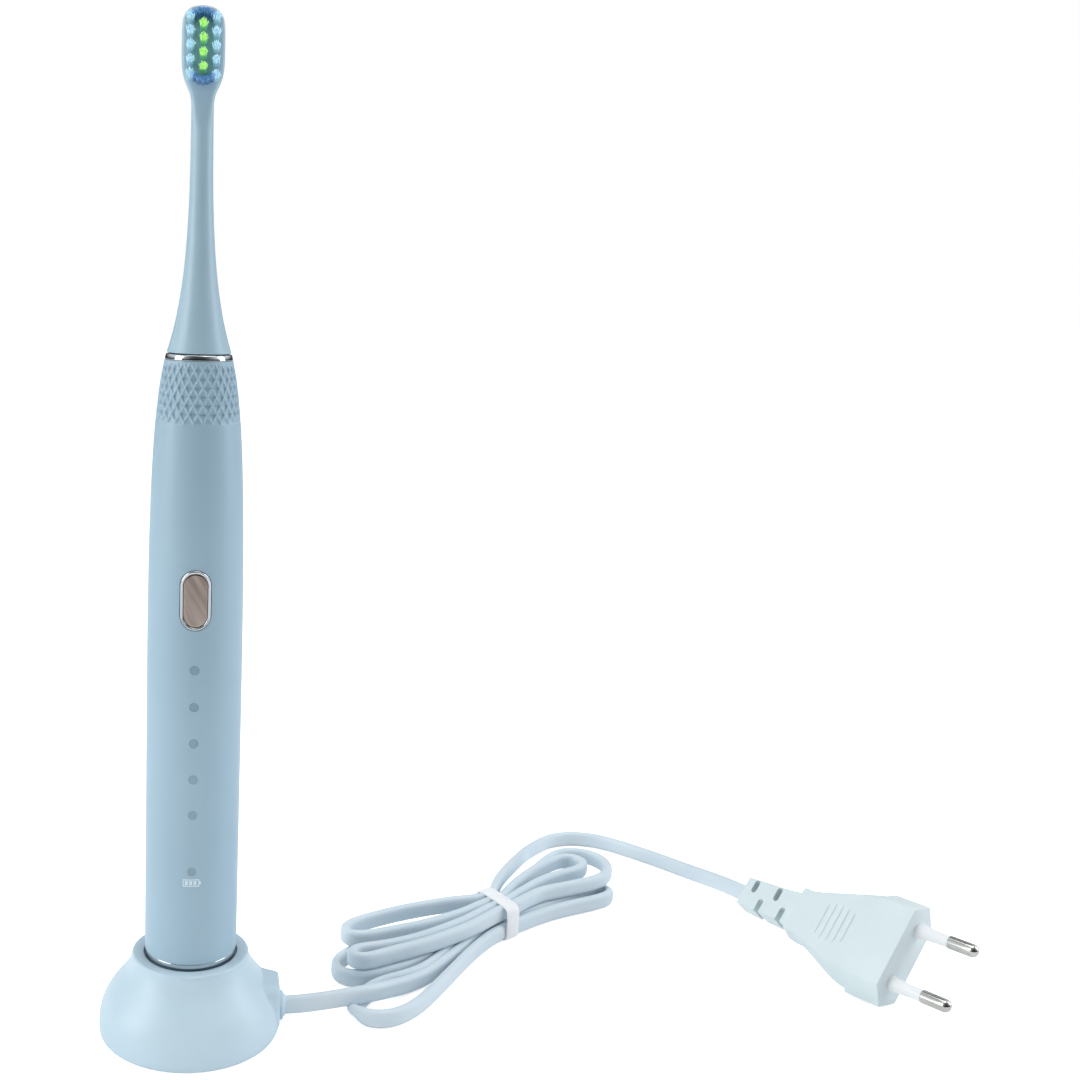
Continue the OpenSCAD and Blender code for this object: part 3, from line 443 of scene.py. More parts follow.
# the hank: (t, v, z) and, where there is one, the tilt of the flat section from upright in degrees
HANK = [
    (-27, -10.9, LOW), (-14.7, -6.4, 3.0), (-6, -3.8, 3.35), (0, -3.2, TIED_LOW), (6, -2.9, 3.35),
    # first right loop, low, narrow
    (18, -1.0, LOW), (30, -1.3, LOW), (40, -1.6, LOW), (46, -0.2, LOW), (49.6, -1.8, LOW),
    (50.2, -4.6, LOW), (46.5, -6.6, LOW), (38, -6.2, LOW), (29, -4.9, LOW), (18, -4.4, LOW),
    (6, -5.9, 3.35), (0, -6.4, TIED_LOW), (-8.5, -8.0, 3.2),
    # lowest left loop: out along the front, round, and back under the way in
    (-20.4, -12.2, LOW), (-37.1, -20.2, LOW), (-51.8, -27.0, LOW), (-60.9, -29.5, LOW),
    (-67.5, -28.9, LOW), (-71.6, -25.6, LOW, 8), (-72.0, -21.2, 2.3, 45), (-69.4, -17.2, 1.75, 78),
    (-64.5, -14.2, 1.75, 78), (-58.0, -12.9, 2.3, 40), (-48.9, -13.3, LOW), (-39.5, -12.6, LOW),
    (-26, -7.6, LOW), (-13.5, -2.6, 3.0), (-6, -0.6, 3.35), (0, 0, TIED_LOW), (6, 0.3, 3.35),
    # second right loop, low, inside
    (18, 2.3, LOW), (30, 2.2, LOW), (37, 1.8, LOW), (41.2, 3.2, LOW), (41.6, 5.8, LOW),
    (37.5, 7.6, LOW), (30, 7.1, LOW), (18, 5.8, LOW), (6, 3.6, 3.35), (0, 3.2, TIED_LOW),
    (-7, 1.8, 3.3),
    # second left loop
    (-17, -0.9, LOW), (-28.2, -5.2, LOW), (-35.9, -7.8, LOW), (-47.5, -8.6, LOW), (-57.3, -7.3, LOW),
    (-62.6, -3.9, LOW), (-63.4, 0.8, LOW), (-60.0, 5.2, LOW), (-52, 7.9, LOW), (-40, 8.2, LOW),
    (-25, 7.6, LOW), (-10, 6.7, 3.2), (0, 6.4, TIED_LOW), (6, 7.2, 3.3),
    # third right loop: rises at the far end and comes back on top
    (15, 10.2, 3.4), (28, 14.6, 4.6), (40, 19.0, 6.6), (49, 19.8, 8.0), (55.3, 16.7, HIGH),
    (58.2, 11.0, HIGH), (57.0, 4.4, HIGH), (52.4, -0.9, HIGH), (44, -3.3, HIGH), (32.6, -2.1, HIGH),
    (21, -0.4, HIGH), (13, -1.8, 8.4), (6, -3.8, 8.85), (0, -4.8, TIED_HIGH), (-6, -5.7, 8.85),
    # third left loop, on top, tight
    (-17.9, -7.4, HIGH), (-35.9, -8.4, HIGH), (-50, -7.4, HIGH), (-57.5, -6.8, HIGH),
    (-60.6, -4.6, HIGH), (-60.2, -1.6, HIGH), (-56.5, -0.8, HIGH), (-48, -3.2, HIGH),
    (-35.9, -4.7, HIGH), (-17.9, -3.9, 8.3), (-6, -2.2, 8.85), (0, -1.6, TIED_HIGH), (6, -0.3, 8.85),
    # fourth right loop, on top
    (15, 3.0, HIGH), (26, 5.6, HIGH), (35, 6.2, HIGH), (43, 5.8, HIGH), (48.6, 7.0, HIGH),
    (50.8, 10.4, HIGH), (49.4, 14.6, HIGH), (44, 16.2, HIGH), (31.3, 13.9, HIGH), (17, 8.6, HIGH),
    (6, 2.8, 8.85), (0, 1.6, TIED_HIGH), (-6, 1.3, 8.85),
    # fourth left loop, on top at the back
    (-12.9, 1.2, HIGH), (-28.2, 1.4, HIGH), (-42, 3.6, HIGH), (-49.5, 5.2, HIGH), (-53.6, 8.4, HIGH),
    (-52.4, 12.4, HIGH), (-46.2, 14.3, HIGH), (-30.1, 13.6, HIGH), (-14.1, 9.8, 8.6), (-6, 6.4, 9.0),
    (0, 4.8, TIED_HIGH), (5, 6.6, 9.1),
    # away towards the plug
    (13, 12.8, 9.0), (21, 18.2, 8.2), (30, 24.0, 6.8), (38.6, 29.8, 5.0), (48, 35.6, 3.3),
    (58.3, 39.4, LOW), (66, 40.6, LOW),
]
# the way out: (x, y, z) and the tilt, round the far bend, up to the plug's sleeve
WAY_OUT = [(144, 125.0, LOW), (151, 124.0, LOW), (156.5, 121.0, LOW), (162, 116.2, LOW),
           (167.5, 110.4, LOW), (172.0, 104.5, 3.0, 4), (176.0, 96.0, 4.0, 10), (179.3, 86.0, 5.8, 18),
           (181.8, 76.5, 7.9, 26), (183.7, 67.0, 10.0, 34), (185.7, 57.1, 11.9, 42), (187.7, 53.6, 12.1, 43),
           (189.7, 50.2, 12.3, 43)]


def in_plug(points):
    """Points of the plug's own frame, x towards the pin tips and y across the pins, turned and put in place."""
    turn = np.array(Euler([math.radians(a) for a in PLUG_TURN], "XYZ").to_matrix())
    return np.asarray(points, float) @ turn.T + np.array(PLUG_AT)


def smooth_route(points, spacing, blur):
    """A Catmull-Rom curve through the points, evenly spaced, then averaged along its length with weights
    exp(-s^2 / 2 blur^2); both ends are first drawn out straight by the reach of the weights."""
    p = np.asarray(points, float)
    ends = np.vstack([2 * p[0] - p[1], p, 2 * p[-1] - p[-2]])
    u = np.linspace(0, 1, 24, endpoint=False)[:, None]
    parts = []
    for i in range(len(p) - 1):
        a, b, c, d = ends[i:i + 4]
        parts.append(0.5 * (2 * b + (c - a) * u + (2 * a - 5 * b + 4 * c - d) * u ** 2
                            + (3 * b - a - 3 * c + d) * u ** 3))
    line = resample(np.vstack(parts + [p[-1:]]), spacing)
    reach = max(1, int(3 * blur / spacing))
    k = np.exp(-0.5 * (np.arange(-reach, reach + 1) * spacing / blur) ** 2)
    k /= k.sum()
    ramp = np.arange(reach, 0, -1)[:, None] * spacing
    head = (line[1] - line[0]) / np.linalg.norm((line[1] - line[0])[:3])
    tail = (line[-1] - line[-2]) / np.linalg.norm((line[-1] - line[-2])[:3])
    padded = np.vstack([line[0] - head * ramp, line, line[-1] + tail * ramp[::-1]])
    smooth = np.stack([np.convolve(padded[:, c], k, "valid") for c in range(line.shape[1])], -1)
    return resample(smooth, spacing)


def resample(line, spacing):
    """The same line with its points evenly spaced along x, y, z; further columns are carried along."""
    step = np.linalg.norm(np.diff(line[:, :3], axis=0), axis=1)
    s = np.concatenate([[0], np.cumsum(step)])
    even = np.linspace(0, s[-1], max(2, int(round(s[-1] / spacing))) + 1)
    return np.stack([np.interp(even, s, line[:, c]) for c in range(line.shape[1])], -1)


def lead_route():
    """The whole lead: points (x, y, z) in mm and the tilt of its flat section from upright, in degrees."""
    hank = [(*hank_point(*p[:3]), *p[3:]) for p in HANK]
    return smooth_route([(*p, 0)[:4] for p in WAY_IN + hank + WAY_OUT], spacing=0.9, blur=1.6)


# ---- properties ----

class BrushSizes(bpy.types.PropertyGroup):
    """Sizes of the details that only this file makes."""
    grip_depth: bpy.props.FloatProperty(name="Grip depth", description="Depth of the diamond pits, in millimetres",
                                        default=0.6, min=0.05, max=0.8)
    grip_count: bpy.props.IntProperty(name="Grip columns", description="Diamonds round the grip band", default=28,
                                      min=12, max=36)
    grip_pitch: bpy.props.FloatProperty(name="Grip pitch", description="Height of one diamond, in millimetres",
                                        default=4.4, min=1.5, max=5)
    filament_r: bpy.props.FloatProperty(name="Filament radius", description="Radius of one bristle, in millimetres",
                                        default=0.1, min=0.06, max=0.2)
    camera_height: bpy.props.FloatProperty(name="Camera height", description="Height of the camera above the table",
                                           default=0.210, subtype="DISTANCE", unit="LENGTH")


def colour_property(name, description, code):
    """A colour with an sRGB hex default, kept linear."""
    return bpy.props.FloatVectorProperty(name=name, description=description, size=4, subtype="COLOR",
                                         default=linear(code), min=0, max=1)


class BrushColours(bpy.types.PropertyGroup):
    """Colours of the main pieces and of the surroundings."""
    charger: colour_property("Charger", "Colour of the charging base", FINISHES["satin_abs_charger"][0])
    handle: colour_property("Handle", "Colour of the handle", FINISHES["satin_abs_handle"][0])
    head: colour_property("Head", "Colour of the brush head", FINISHES["satin_pp_head"][0])
    lead: colour_property("Lead", "Colour of the lead", FINISHES["soft_pvc_lead"][0])
    plug: colour_property("Plug", "Colour of the plug", FINISHES["moulded_pvc_plug"][0])
    button: colour_property("Button", "Colour of the button's mirror", FINISHES["rose_mirror"][0])
    table: colour_property("Table", "Colour of the table", "#FBFCFD")
    sky: colour_property("Background", "Colour of the studio behind", "#FFFFFF")


def sizes():
    """The scene's BrushSizes."""
    return bpy.context.scene.brush_sizes


# ---- stage ----

# lens in mm on a 36 mm sensor and its shifts; the camera's y, its height being a property, and its angles in degrees
LENS, SHIFT_X, SHIFT_Y = 45.87, 0.1954, 0.0185
CAMERA_Y, YAW, PITCH, ROLL = -0.36156, 5.625, 11.468, 1.941
TABLE_R, TABLE_GLOW = 8.0, 0.62
# lamp: place, what it is aimed at, size, watts, colour
BRUSH_MIDDLE = (0.05, 0.02, 0.1)
LAMPS = {
    "key": ((-1.05, -0.28, 0.55), BRUSH_MIDDLE, (0.6, 1.0), 6.3, "#FFFFFF"),
    "fill": ((1.15, -0.05, 0.55), BRUSH_MIDDLE, (0.5, 1.0), 4.5, "#F6F9FF"),
    "top": ((0.1, 0.1, 1.2), BRUSH_MIDDLE, (0.9, 0.7), 5.0, "#FFFFFF"),
    # a weak strip in front of the charger, for the belly that the others leave dim
    "low_front": ((-0.005, -0.125, 0.03), (0.0, 0, 0.01), (0.16, 0.03), 0.018, "#FFFFFF"),
}


def area_light(name, at, aim, size, power, tint):
    """A rectangular lamp of the given size in metres and power in watts, turned towards aim."""
    lamp = bpy.data.lights.new(name, "AREA")
    lamp.shape, lamp.size, lamp.size_y = "RECTANGLE", *size
    lamp.energy = power
    lamp.color = linear(tint)[:3]
    obj = bpy.data.objects.new(name, lamp)
    bpy.context.scene.collection.objects.link(obj)
    obj.visible_camera = False
    obj.location = at
    obj.rotation_mode = "QUATERNION"
    obj.rotation_quaternion = (Vector(aim) - Vector(at)).to_track_quat("-Z", "Y")


class BRUSH_OT_stage(bpy.types.Operator):
    """Camera, table and studio light"""
    bl_idname = "brush.stage"
    bl_label = "Stage"

    def execute(self, context):
        scene = context.scene
        lens = bpy.data.cameras.new("camera")
        lens.sensor_width, lens.lens = 36.0, LENS
        lens.shift_x, lens.shift_y = SHIFT_X, SHIFT_Y
        lens.clip_start, lens.clip_end = 0.01, 100
        camera = bpy.data.objects.new("camera", lens)
        scene.collection.objects.link(camera)
        # yaw turns the look from +Y towards +X, pitch tips it down, roll turns the picture about it
        yaw, pitch, roll = (math.radians(a) for a in (YAW, PITCH, ROLL))
        look = Vector((math.sin(yaw) * math.cos(pitch), math.cos(yaw) * math.cos(pitch), -math.sin(pitch)))
        right = Vector((math.cos(yaw), -math.sin(yaw), 0))
        up = right.cross(look)
        side = right * math.cos(roll) + up * math.sin(roll)
        top = -right * math.sin(roll) + up * math.cos(roll)
        turn = Matrix((side, top, -look)).transposed().to_4x4()
        camera.matrix_world = Matrix.Translation((0, CAMERA_Y, sizes().camera_height)) @ turn
        scene.camera = camera
        scene.view_settings.view_transform = "Standard"

        table = bpy.data.meshes.new("table")
        a = np.arange(96) / 96 * TAU
        rim = np.stack([TABLE_R * np.cos(a), TABLE_R * np.sin(a), np.zeros(96)], -1)
        table.from_pydata(rim.tolist(), [], [list(range(96))])
        floor = bpy.data.objects.new("table", table)
        scene.collection.objects.link(floor)
        paint = bpy.data.materials.new("table_matt_white")
        paint.use_nodes = True
        shader = paint.node_tree.nodes["Principled BSDF"]
        shader.inputs["Base Color"].default_value = tuple(scene.brush_colours.table)
        shader.inputs["Roughness"].default_value = 0.9
        shader.inputs["Specular IOR Level"].default_value = 0.1
        shader.inputs["Emission Color"].default_value = linear("#FFFFFF")
        # the eye sees the table as a white sweep: it glows for the camera only and lights nothing
        eye = add(paint.node_tree, "LightPath").outputs["Is Camera Ray"]
        glow = add(paint.node_tree, "Math", {1: TABLE_GLOW}, {0: eye}, operation="MULTIPLY")
        paint.node_tree.links.new(glow.outputs[0], shader.inputs["Emission Strength"])
        table.materials.append(paint)

        world = bpy.data.worlds.new("studio")
        scene.world = world
        world.use_nodes = True
        tree = world.node_tree
        tree.nodes.clear()
        way = add(tree, "TexCoord").outputs["Generated"]
        parts = add(tree, "SeparateXYZ", None, {"Vector": way})
        # bright to both sides and dim in front: tall things get light flanks and a darker middle
        across = add(tree, "MapRange", {"From Min": 0.15, "From Max": 0.9, "To Min": 0.32, "To Max": 1.05},
                     {"Value": add(tree, "Math", None, {0: parts.outputs["X"]}, operation="ABSOLUTE").outputs[0]},
                     interpolation_type="SMOOTHSTEP")
        front = add(tree, "MapRange", {"From Min": -1.0, "From Max": -0.1, "To Min": 0.17, "To Max": 1.0},
                    {"Value": parts.outputs["Y"]}, interpolation_type="SMOOTHSTEP")
        shade = add(tree, "Math", None, {0: across.outputs["Result"], 1: front.outputs["Result"]},
                    operation="MULTIPLY")
        # mirrors see a dark strip along the horizon, so that the bright rings get dark streaks
        strip = add(tree, "MapRange", {"From Min": 0.0, "From Max": 0.45, "To Min": 0.05, "To Max": 1.0},
                    {"Value": parts.outputs["Z"]}, interpolation_type="SMOOTHSTEP")
        path = add(tree, "LightPath")
        told = add(tree, "Mix", {"A": 1.0}, {"Factor": path.outputs["Is Glossy Ray"], "B": strip.outputs["Result"]})
        dimmed = add(tree, "Math", None, {0: shade.outputs[0], 1: told.outputs["Result"]}, operation="MULTIPLY")
        soft = add(tree, "Background", {"Color": linear("#F3F8FC")}, {"Strength": dimmed.outputs[0]})
        plain = add(tree, "Background", {"Color": tuple(scene.brush_colours.sky), "Strength": 1.0})
        both = add(tree, "MixShader", None,
                   {0: path.outputs["Is Camera Ray"], 1: soft.outputs[0], 2: plain.outputs[0]})
        add(tree, "OutputWorld", None, {"Surface": both.outputs[0]})

        for name, settings in LAMPS.items():
            area_light(name, *settings)
        return {"FINISHED"}


# ---- charger ----

class BRUSH_OT_charger(bpy.types.Operator):
    """Charging base with its cable boss, and the gland of the lead"""
    bl_idname = "brush.charger"
    bl_label = "Charger"

    def execute(self, context):
        # columns lie closer together round the boss at +X
        a = np.radians(np.concatenate([np.linspace(-26, 26, 220, endpoint=False),
                                       np.linspace(26, 334, 230, endpoint=False)]))
        # the profile goes up the outside, over the lip, down into the cup and the post's bore, and down the inside
        foot_z, foot_r = [0.1, 0.12, 0.2, 0.4, 0.8, 1.6], [24.9, 25.1, 25.25, 25.4, 25.48, 25.5]
        z_out = np.concatenate([foot_z, np.linspace(2.4, 15.6, 110), np.linspace(15.8, 22.6, 30)])
        r_out = np.where(z_out < BELLY_Z, np.interp(z_out, foot_z, foot_r), bell_radius(z_out))
        bend, lip_r = np.linspace(0, np.pi / 2, 7), 0.75
        lip = np.stack([TOP_R + 0.05 + lip_r * (np.cos(bend) - 1), TOP_Z + lip_r * (np.sin(bend) - 1)], -1)
        cup = [(13.35, TOP_Z), (13.12, 23.3), (SEAT_R, 23.05), (SEAT_R, 22.25), (12.9, SEAT_Z),
               (POST_R + 0.15, SEAT_Z), (POST_R, 21.9), (POST_R, 20.0), (13.6, 20.0)]
        z_in = np.linspace(19.6, BELLY_Z, 14)
        inside = np.stack([bell_radius(z_in, BELL_WALL, 20.0), z_in], -1)
        profile = np.vstack([np.stack([r_out, z_out], -1), lip, cup, inside, [(BASE_R - BELL_WALL, foot_z[0])]])
        r, z = profile[:, :1], np.repeat(profile[:, 1:], len(a), 1)
        x, y = r * np.cos(a), r * np.sin(a)
        # the boss: inside a rounded square of the Y Z plane the flare is pushed out along X to a flat face, and the
        # push eases off from ease inside the square's edge to ease outside it
        corner, ease = 3.4, 0.9
        qy, qz = np.abs(y) - BOSS_HALF_Y + corner, np.abs(z - BOSS_Z) - BOSS_HALF_Z + corner
        away = np.hypot(np.maximum(qy, 0), np.maximum(qz, 0)) + np.minimum(np.maximum(qy, qz), 0) - corner
        t = np.clip((ease - away) / (2 * ease), 0, 1)
        t = t * t * (3 - 2 * t)
        outer = (np.arange(len(profile)) < len(z_out))[:, None] & (x > 0)
        x = np.where(outer, x + t * np.maximum(0, BOSS_X - x), x)
        piece("charger_housing", tube_mesh([np.stack([x, y, z], -1)], wrap_rows=True), "charger", "charger_plastic",
              "charger_shell", crease=85)

        # gland: a plug in the boss, a rounded flange on its face, and a short neck
        flange = [(0, 24.0), (3.2, 24.0), (3.2, 25.42), (3.9, 25.42), (4.1, 25.6), (4.15, 26.0), (4.1, 26.35),
                  (3.75, 26.6), (3.3, 26.7), (3.15, 27.0), (2.95, GLAND_X), (0, GLAND_X)]
        piece("lead_gland", tube_mesh([turned(flange, 96, "x", (0, 0, LEAD_Z))], capped=False), "charger",
              "charger_plastic", "cable_gland")
        return {"FINISHED"}


# ---- lead ----

class BRUSH_OT_lead(bpy.types.Operator):
    """Flat lead from the gland through its hank to the plug, and the tie"""
    bl_idname = "brush.lead"
    bl_label = "Lead"

    def execute(self, context):
        route = lead_route()
        line, tilt = route[:, :3], np.radians(route[:, 3:])
        along = np.gradient(line, axis=0)
        along /= np.linalg.norm(along, axis=1, keepdims=True)
        flat = np.cross(along, [[0.0, 0.0, 1.0]])
        flat /= np.linalg.norm(flat, axis=1, keepdims=True)
        rise = np.cross(flat, along)
        wide = rise * np.cos(tilt) - flat * np.sin(tilt)
        thin = np.cross(along, wide)
        # section: two cores side by side under one jacket, a rounded box with a faint waist between the cores
        a = np.arange(28) / 28 * TAU
        ca, sa = np.cos(a), np.sin(a)
        w = LEAD_W / 2 * np.sign(ca) * np.abs(ca) ** 0.72
        t = LEAD_T / 2 * np.sign(sa) * np.abs(sa) ** 0.8 * (1 - 0.05 * np.exp(-(w / 0.7) ** 2))
        around = wide[:, None] * w[None, :, None] + thin[:, None] * t[None, :, None]
        # the tilted stretches are lifted until their lowest point clears the table by 0.03 mm
        line[:, 2] += np.maximum(0, 0.03 - (line[:, 2] + around[..., 2].min(1)))
        lead = piece("flat_lead", tube_mesh([line[:, None] + around]), "charger", "lead_pvc",
                     "lead_in", "lead_hank", "lead_out")

        # the tie: a strip's section carried round a rounded box |v/a|^n + |h/b|^n = 1 about the bundle, a little askew
        s = np.arange(160) / 160 * TAU
        c, d, power = np.cos(s), np.sin(s), 0.34
        loop = np.stack([TIE_HALF_V * np.sign(c) * np.abs(c) ** power,
                         TIE_Z + TIE_HALF_H * np.sign(d) * np.abs(d) ** power], -1)
        ring = resample(np.vstack([loop, loop[:1]]), 0.35)[:-1]
        step = np.roll(ring, -1, 0) - np.roll(ring, 1, 0)
        out = np.stack([step[:, 1], -step[:, 0]], -1) / np.linalg.norm(step, axis=1, keepdims=True)
        strip = [(-2.5, 0.0), (-2.5, -0.5), (-2.3, -0.62), (2.3, -0.62), (2.5, -0.5), (2.5, 0.0), (2.35, 0.06),
                 (-2.35, 0.06)]
        grid = []
        for t, off in strip:
            v, h = (ring + out * off).T
            grid.append(np.array(hank_point(t + 0.10 * v + 1.2, v, h)).T)
        verts, faces = tube_mesh([np.stack(grid, 1)], wrap_rows=True)
        verts[:, 2] = np.maximum(verts[:, 2], 0.02)
        tie = piece("hank_strap", (verts, faces), "charger", "tie_band", "hank_tie")
        return {"FINISHED"}


# ---- plug ----

def hexagon(x, w, f, t):
    """The plug's section at x: w half wide at mid height, f half wide on its flat faces, t half thick."""
    return [(x, w, 0), (x, f, t), (x, -f, t), (x, -w, 0), (x, -f, -t), (x, f, -t)]


def body_top(share):
    """Half thickness of the plug's body, share of its length behind its front: level, then thinner to the sleeve."""
    return np.interp(share, [0, 0.45, 0.9, 1], [6.3, 6.3, 5.6, 5.5])


class BRUSH_OT_plug(bpy.types.Operator):
    """Two-pin plug: front block, body with ribbed thumb patches, slotted sleeve and pins"""
    bl_idname = "brush.plug"
    bl_label = "Plug"

    def execute(self, context):
        # front block: six sided, a little wider than the body
        verts, faces = tube_mesh([np.array([hexagon(x, 17.65, 13.05, 6.85) for x in (-12, -8, -4, 0)], float)])
        front = piece("plug_front", (in_plug(verts), faces), "charger", "plug_plastic", "plug_grip_block", crease=20)
        rounded(front, 0.45, 15)

        # body: six sided, narrowing by s = u^2 (3 - 2u) towards the lead and flaring a little where it meets the sleeve
        u = np.linspace(0, 1, 19)
        s = u * u * (3 - 2 * u)
        w, f = 16.5 - 8.3 * s, 12.5 - 5.1 * s
        w[-3:] += [0.0, 0.35, 0.4]
        f[-3:] += [0.0, 0.3, 0.35]
        verts, faces = tube_mesh([np.array([hexagon(*row) for row in zip(BODY_X - BODY_L * u, w, f, body_top(u))])])
        body = piece("plug_moulding", (in_plug(verts), faces), "charger", "plug_plastic", "plug_body", crease=20)
        rounded(body, 0.5, 24)

        # thumb patch: five low round ribs across the top and bottom faces, the middle one the longest
        ribs = []
        b = np.arange(12) / 12 * TAU
        for side in (1, -1):
            for i in range(5):
                x, half = -17.2 - 2.3 * i, 6.6 * math.sqrt(1 - ((i - 2) / 3.6) ** 2)
                y = np.linspace(-half, half, 15)[:, None]
                fade = np.sqrt(np.maximum(0.02, 1 - (y / half) ** 8))
                top = side * body_top((BODY_X - x) / BODY_L)
                ribs.append(np.stack([x + 0.5 * fade * np.cos(b), np.repeat(y, 12, 1),
                                      top + 0.32 * fade * np.sin(b)], -1))
        piece("plug_thumb_ribs", tube_mesh([in_plug(rib) for rib in ribs]), "charger", "plug_plastic")

        # sleeve: tapered, four sided, slotted from side to side so that it bends
        x = np.array([-36.8, -38.7, -41.2, -48, -55, -57.9, -58.3])
        w = np.array([6.3, 6.0, 5.7, 5.4, 5.1, 5.0, 4.7])
        t = np.array([4.5, 4.3, 4.1, 3.9, 3.65, 3.6, 3.3])
        verts, faces = tube_mesh([np.array([[(p, a, b), (p, -a, b), (p, -a, -b), (p, a, -b)]
                                            for p, a, b in zip(x, w, t)])])
        sleeve = piece("plug_sleeve", (in_plug(verts), faces), "charger", "plug_plastic", "plug_strain_relief",
                       crease=20)
        rounded(sleeve, 0.6, 24)
        # the slots of the near side run out over its edge, those of the far side are closed
        slots = []
        for at, middle, half in ((-41.2, -3.9, 3.0), (-45.4, 2.6, 2.4), (-49.9, -3.9, 3.0), (-54.3, 2.5, 2.3)):
            cx, cy, _, _ = stadium(0.95, half, 32)
            low = np.stack([at + cx, middle + cy, np.full(32, -7.0)], -1)
            slots.append(tube_mesh([in_plug(np.stack([low, low + [0, 0, 14.0]]))]))
        cut(sleeve, slots, 40)

        # pins: round, domed tips, bare beyond their shields; profiles of (radius, distance from the plug's face)
        pin_r, pin_l = 2.0, 19
        dome = [(pin_r * math.cos(b), pin_l - pin_r + pin_r * math.sin(b))
                for b in np.linspace(0, np.pi / 2 - 0.02, 12)]
        metal = [(0, 8.0), (1.5, 8.0), (1.5, 10.0), (1.9, 10.06), (pin_r, 10.16), (pin_r, 12), (pin_r, 15), *dome,
                 (0, pin_l)]
        shield = [(0, -1.0), (2.4, -1.0), (2.4, 0.3), (2.3, 1.2), (2.1, 3.0), (1.92, 5.5), (1.85, 7.5), (1.82, 9.6),
                  (1.7, 10.0), (0, 10.0)]
        for name, profile, slot_name, node in (("pin_shields", shield, "pin_sleeve", "pin_sleeves"),
                                               ("pin_metal", metal, "nickel", "plug_pins")):
            both = [in_plug(turned(profile, 48, "x", (0, y, 0))) for y in (-PIN_Y, PIN_Y)]
            piece(name, tube_mesh(both, capped=False), "charger", slot_name, node)
        return {"FINISHED"}


# ---- handle ----

def grip_pits(a, z, size):
    """Depth of the grip's pits at angle a and height z. Tall diamonds stand in staggered columns. With u and v the
    distances from a diamond's middle, across and up, in half diamonds, a pit is 1 - v deep along its upright middle
    line and rises to nothing over the outer third; the band fades out at the bottom and under the ring."""
    across = a / TAU * size.grip_count * 2
    up = (z - GRIP_LOW) / size.grip_pitch * 2
    p, q = (across + up) / 2, (across - up) / 2
    dp, dq = p - np.round(p), q - np.round(q)
    u, v = np.abs(dp + dq), np.abs(dp - dq)
    slope, low_fade, high_fade, past = 0.34, 1.4, 1.2, 0.6
    pit = (1 - v) * np.clip((1 - u - v) / slope, 0, 1)
    ends = np.clip((z - GRIP_LOW + past) / low_fade, 0, 1) * np.clip((GRIP_HIGH + past - z) / high_fade, 0, 1)
    return pit * ends * size.grip_depth


class BRUSH_OT_handle(bpy.types.Operator):
    """Handle with its patterned grip, openings for button and lights, and its bright rings"""
    bl_idname = "brush.handle"
    bl_label = "Handle"

    def execute(self, context):
        size = sizes()
        columns = size.grip_count * 16
        a = (np.arange(columns) + 0.5) / columns * TAU
        # rows lie closest together over the grip; the first and last few round the shell's edges
        z_out = np.concatenate([[SHELL_Z, 25.06, 25.2, 25.6], np.linspace(27, 88, 20),
                                np.linspace(STRAIGHT_Z, 171.4, 52), np.linspace(171.8, 188.0, 104),
                                [188.3, 188.55, 188.72]])
        r_out = np.where(z_out > STRAIGHT_Z, shell_radius(z_out), HANDLE_R)
        r_out[:3] = [12.66, 12.76, HANDLE_R]
        r_out[-4] = min(r_out[-4], 9.2)
        r_out[-3:] = [8.98, 8.92, 8.84]
        lip = [(8.7, SHELL_TOP), (6.6, SHELL_TOP), (NOSE_R, 188.7), (NOSE_R, 186.2), (7.0, 185.9)]
        z_in = np.linspace(185.2, STRAIGHT_Z, 24)
        bore = [(HANDLE_R - WALL, 60.0), (HANDLE_R - WALL, SHELL_Z)]
        profile = np.vstack([np.stack([r_out, z_out], -1), lip, np.stack([shell_radius(z_in, WALL), z_in], -1), bore])
        r, z = np.repeat(profile[:, :1], columns, 1), np.repeat(profile[:, 1:2], columns, 1)
        outer = len(z_out)
        band = (z[:outer] > GRIP_LOW - 0.8) & (z[:outer] < GRIP_HIGH + 0.8)
        r[:outer] -= np.where(band, grip_pits(a[None, :], z[:outer], size), 0)
        shape = tube_mesh([np.stack([r * np.cos(a), r * np.sin(a), z], -1)], wrap_rows=True)
        shell = piece("handle_housing", shape, "handle", "handle_plastic", "handle_shell")
        cx, cz, _, _ = stadium(BEZEL_W / 2, BEZEL_H / 2, 96)
        b = np.arange(40) / 40 * TAU
        lights = [punch(LIGHT_R * np.cos(b), h + LIGHT_R * np.sin(b)) for h in LIGHTS_Z]
        cut(shell, [punch(cx, BUTTON_Z + cz)] + lights, 28)

        ring = [(7.0, 188.86), (8.72, 188.86), (8.82, 188.95), (8.84, 189.1), (8.62, 189.95), (8.5, 190.2),
                (8.38, 190.28), (7.0, 190.28)]
        foot = [(11.75, 23.7), (12.5, 23.7), (12.66, 23.8), (12.71, 24.0), (12.71, 24.85), (12.62, 24.95),
                (11.75, 24.95)]
        for name, profile, node in (("neck_ring", ring, "top_collar"), ("foot_ring_bright", foot, "end_trim")):
            piece(name, tube_mesh([turned(profile, 160)], wrap_rows=True), "handle", "bright_trim", node)
        return {"FINISHED"}


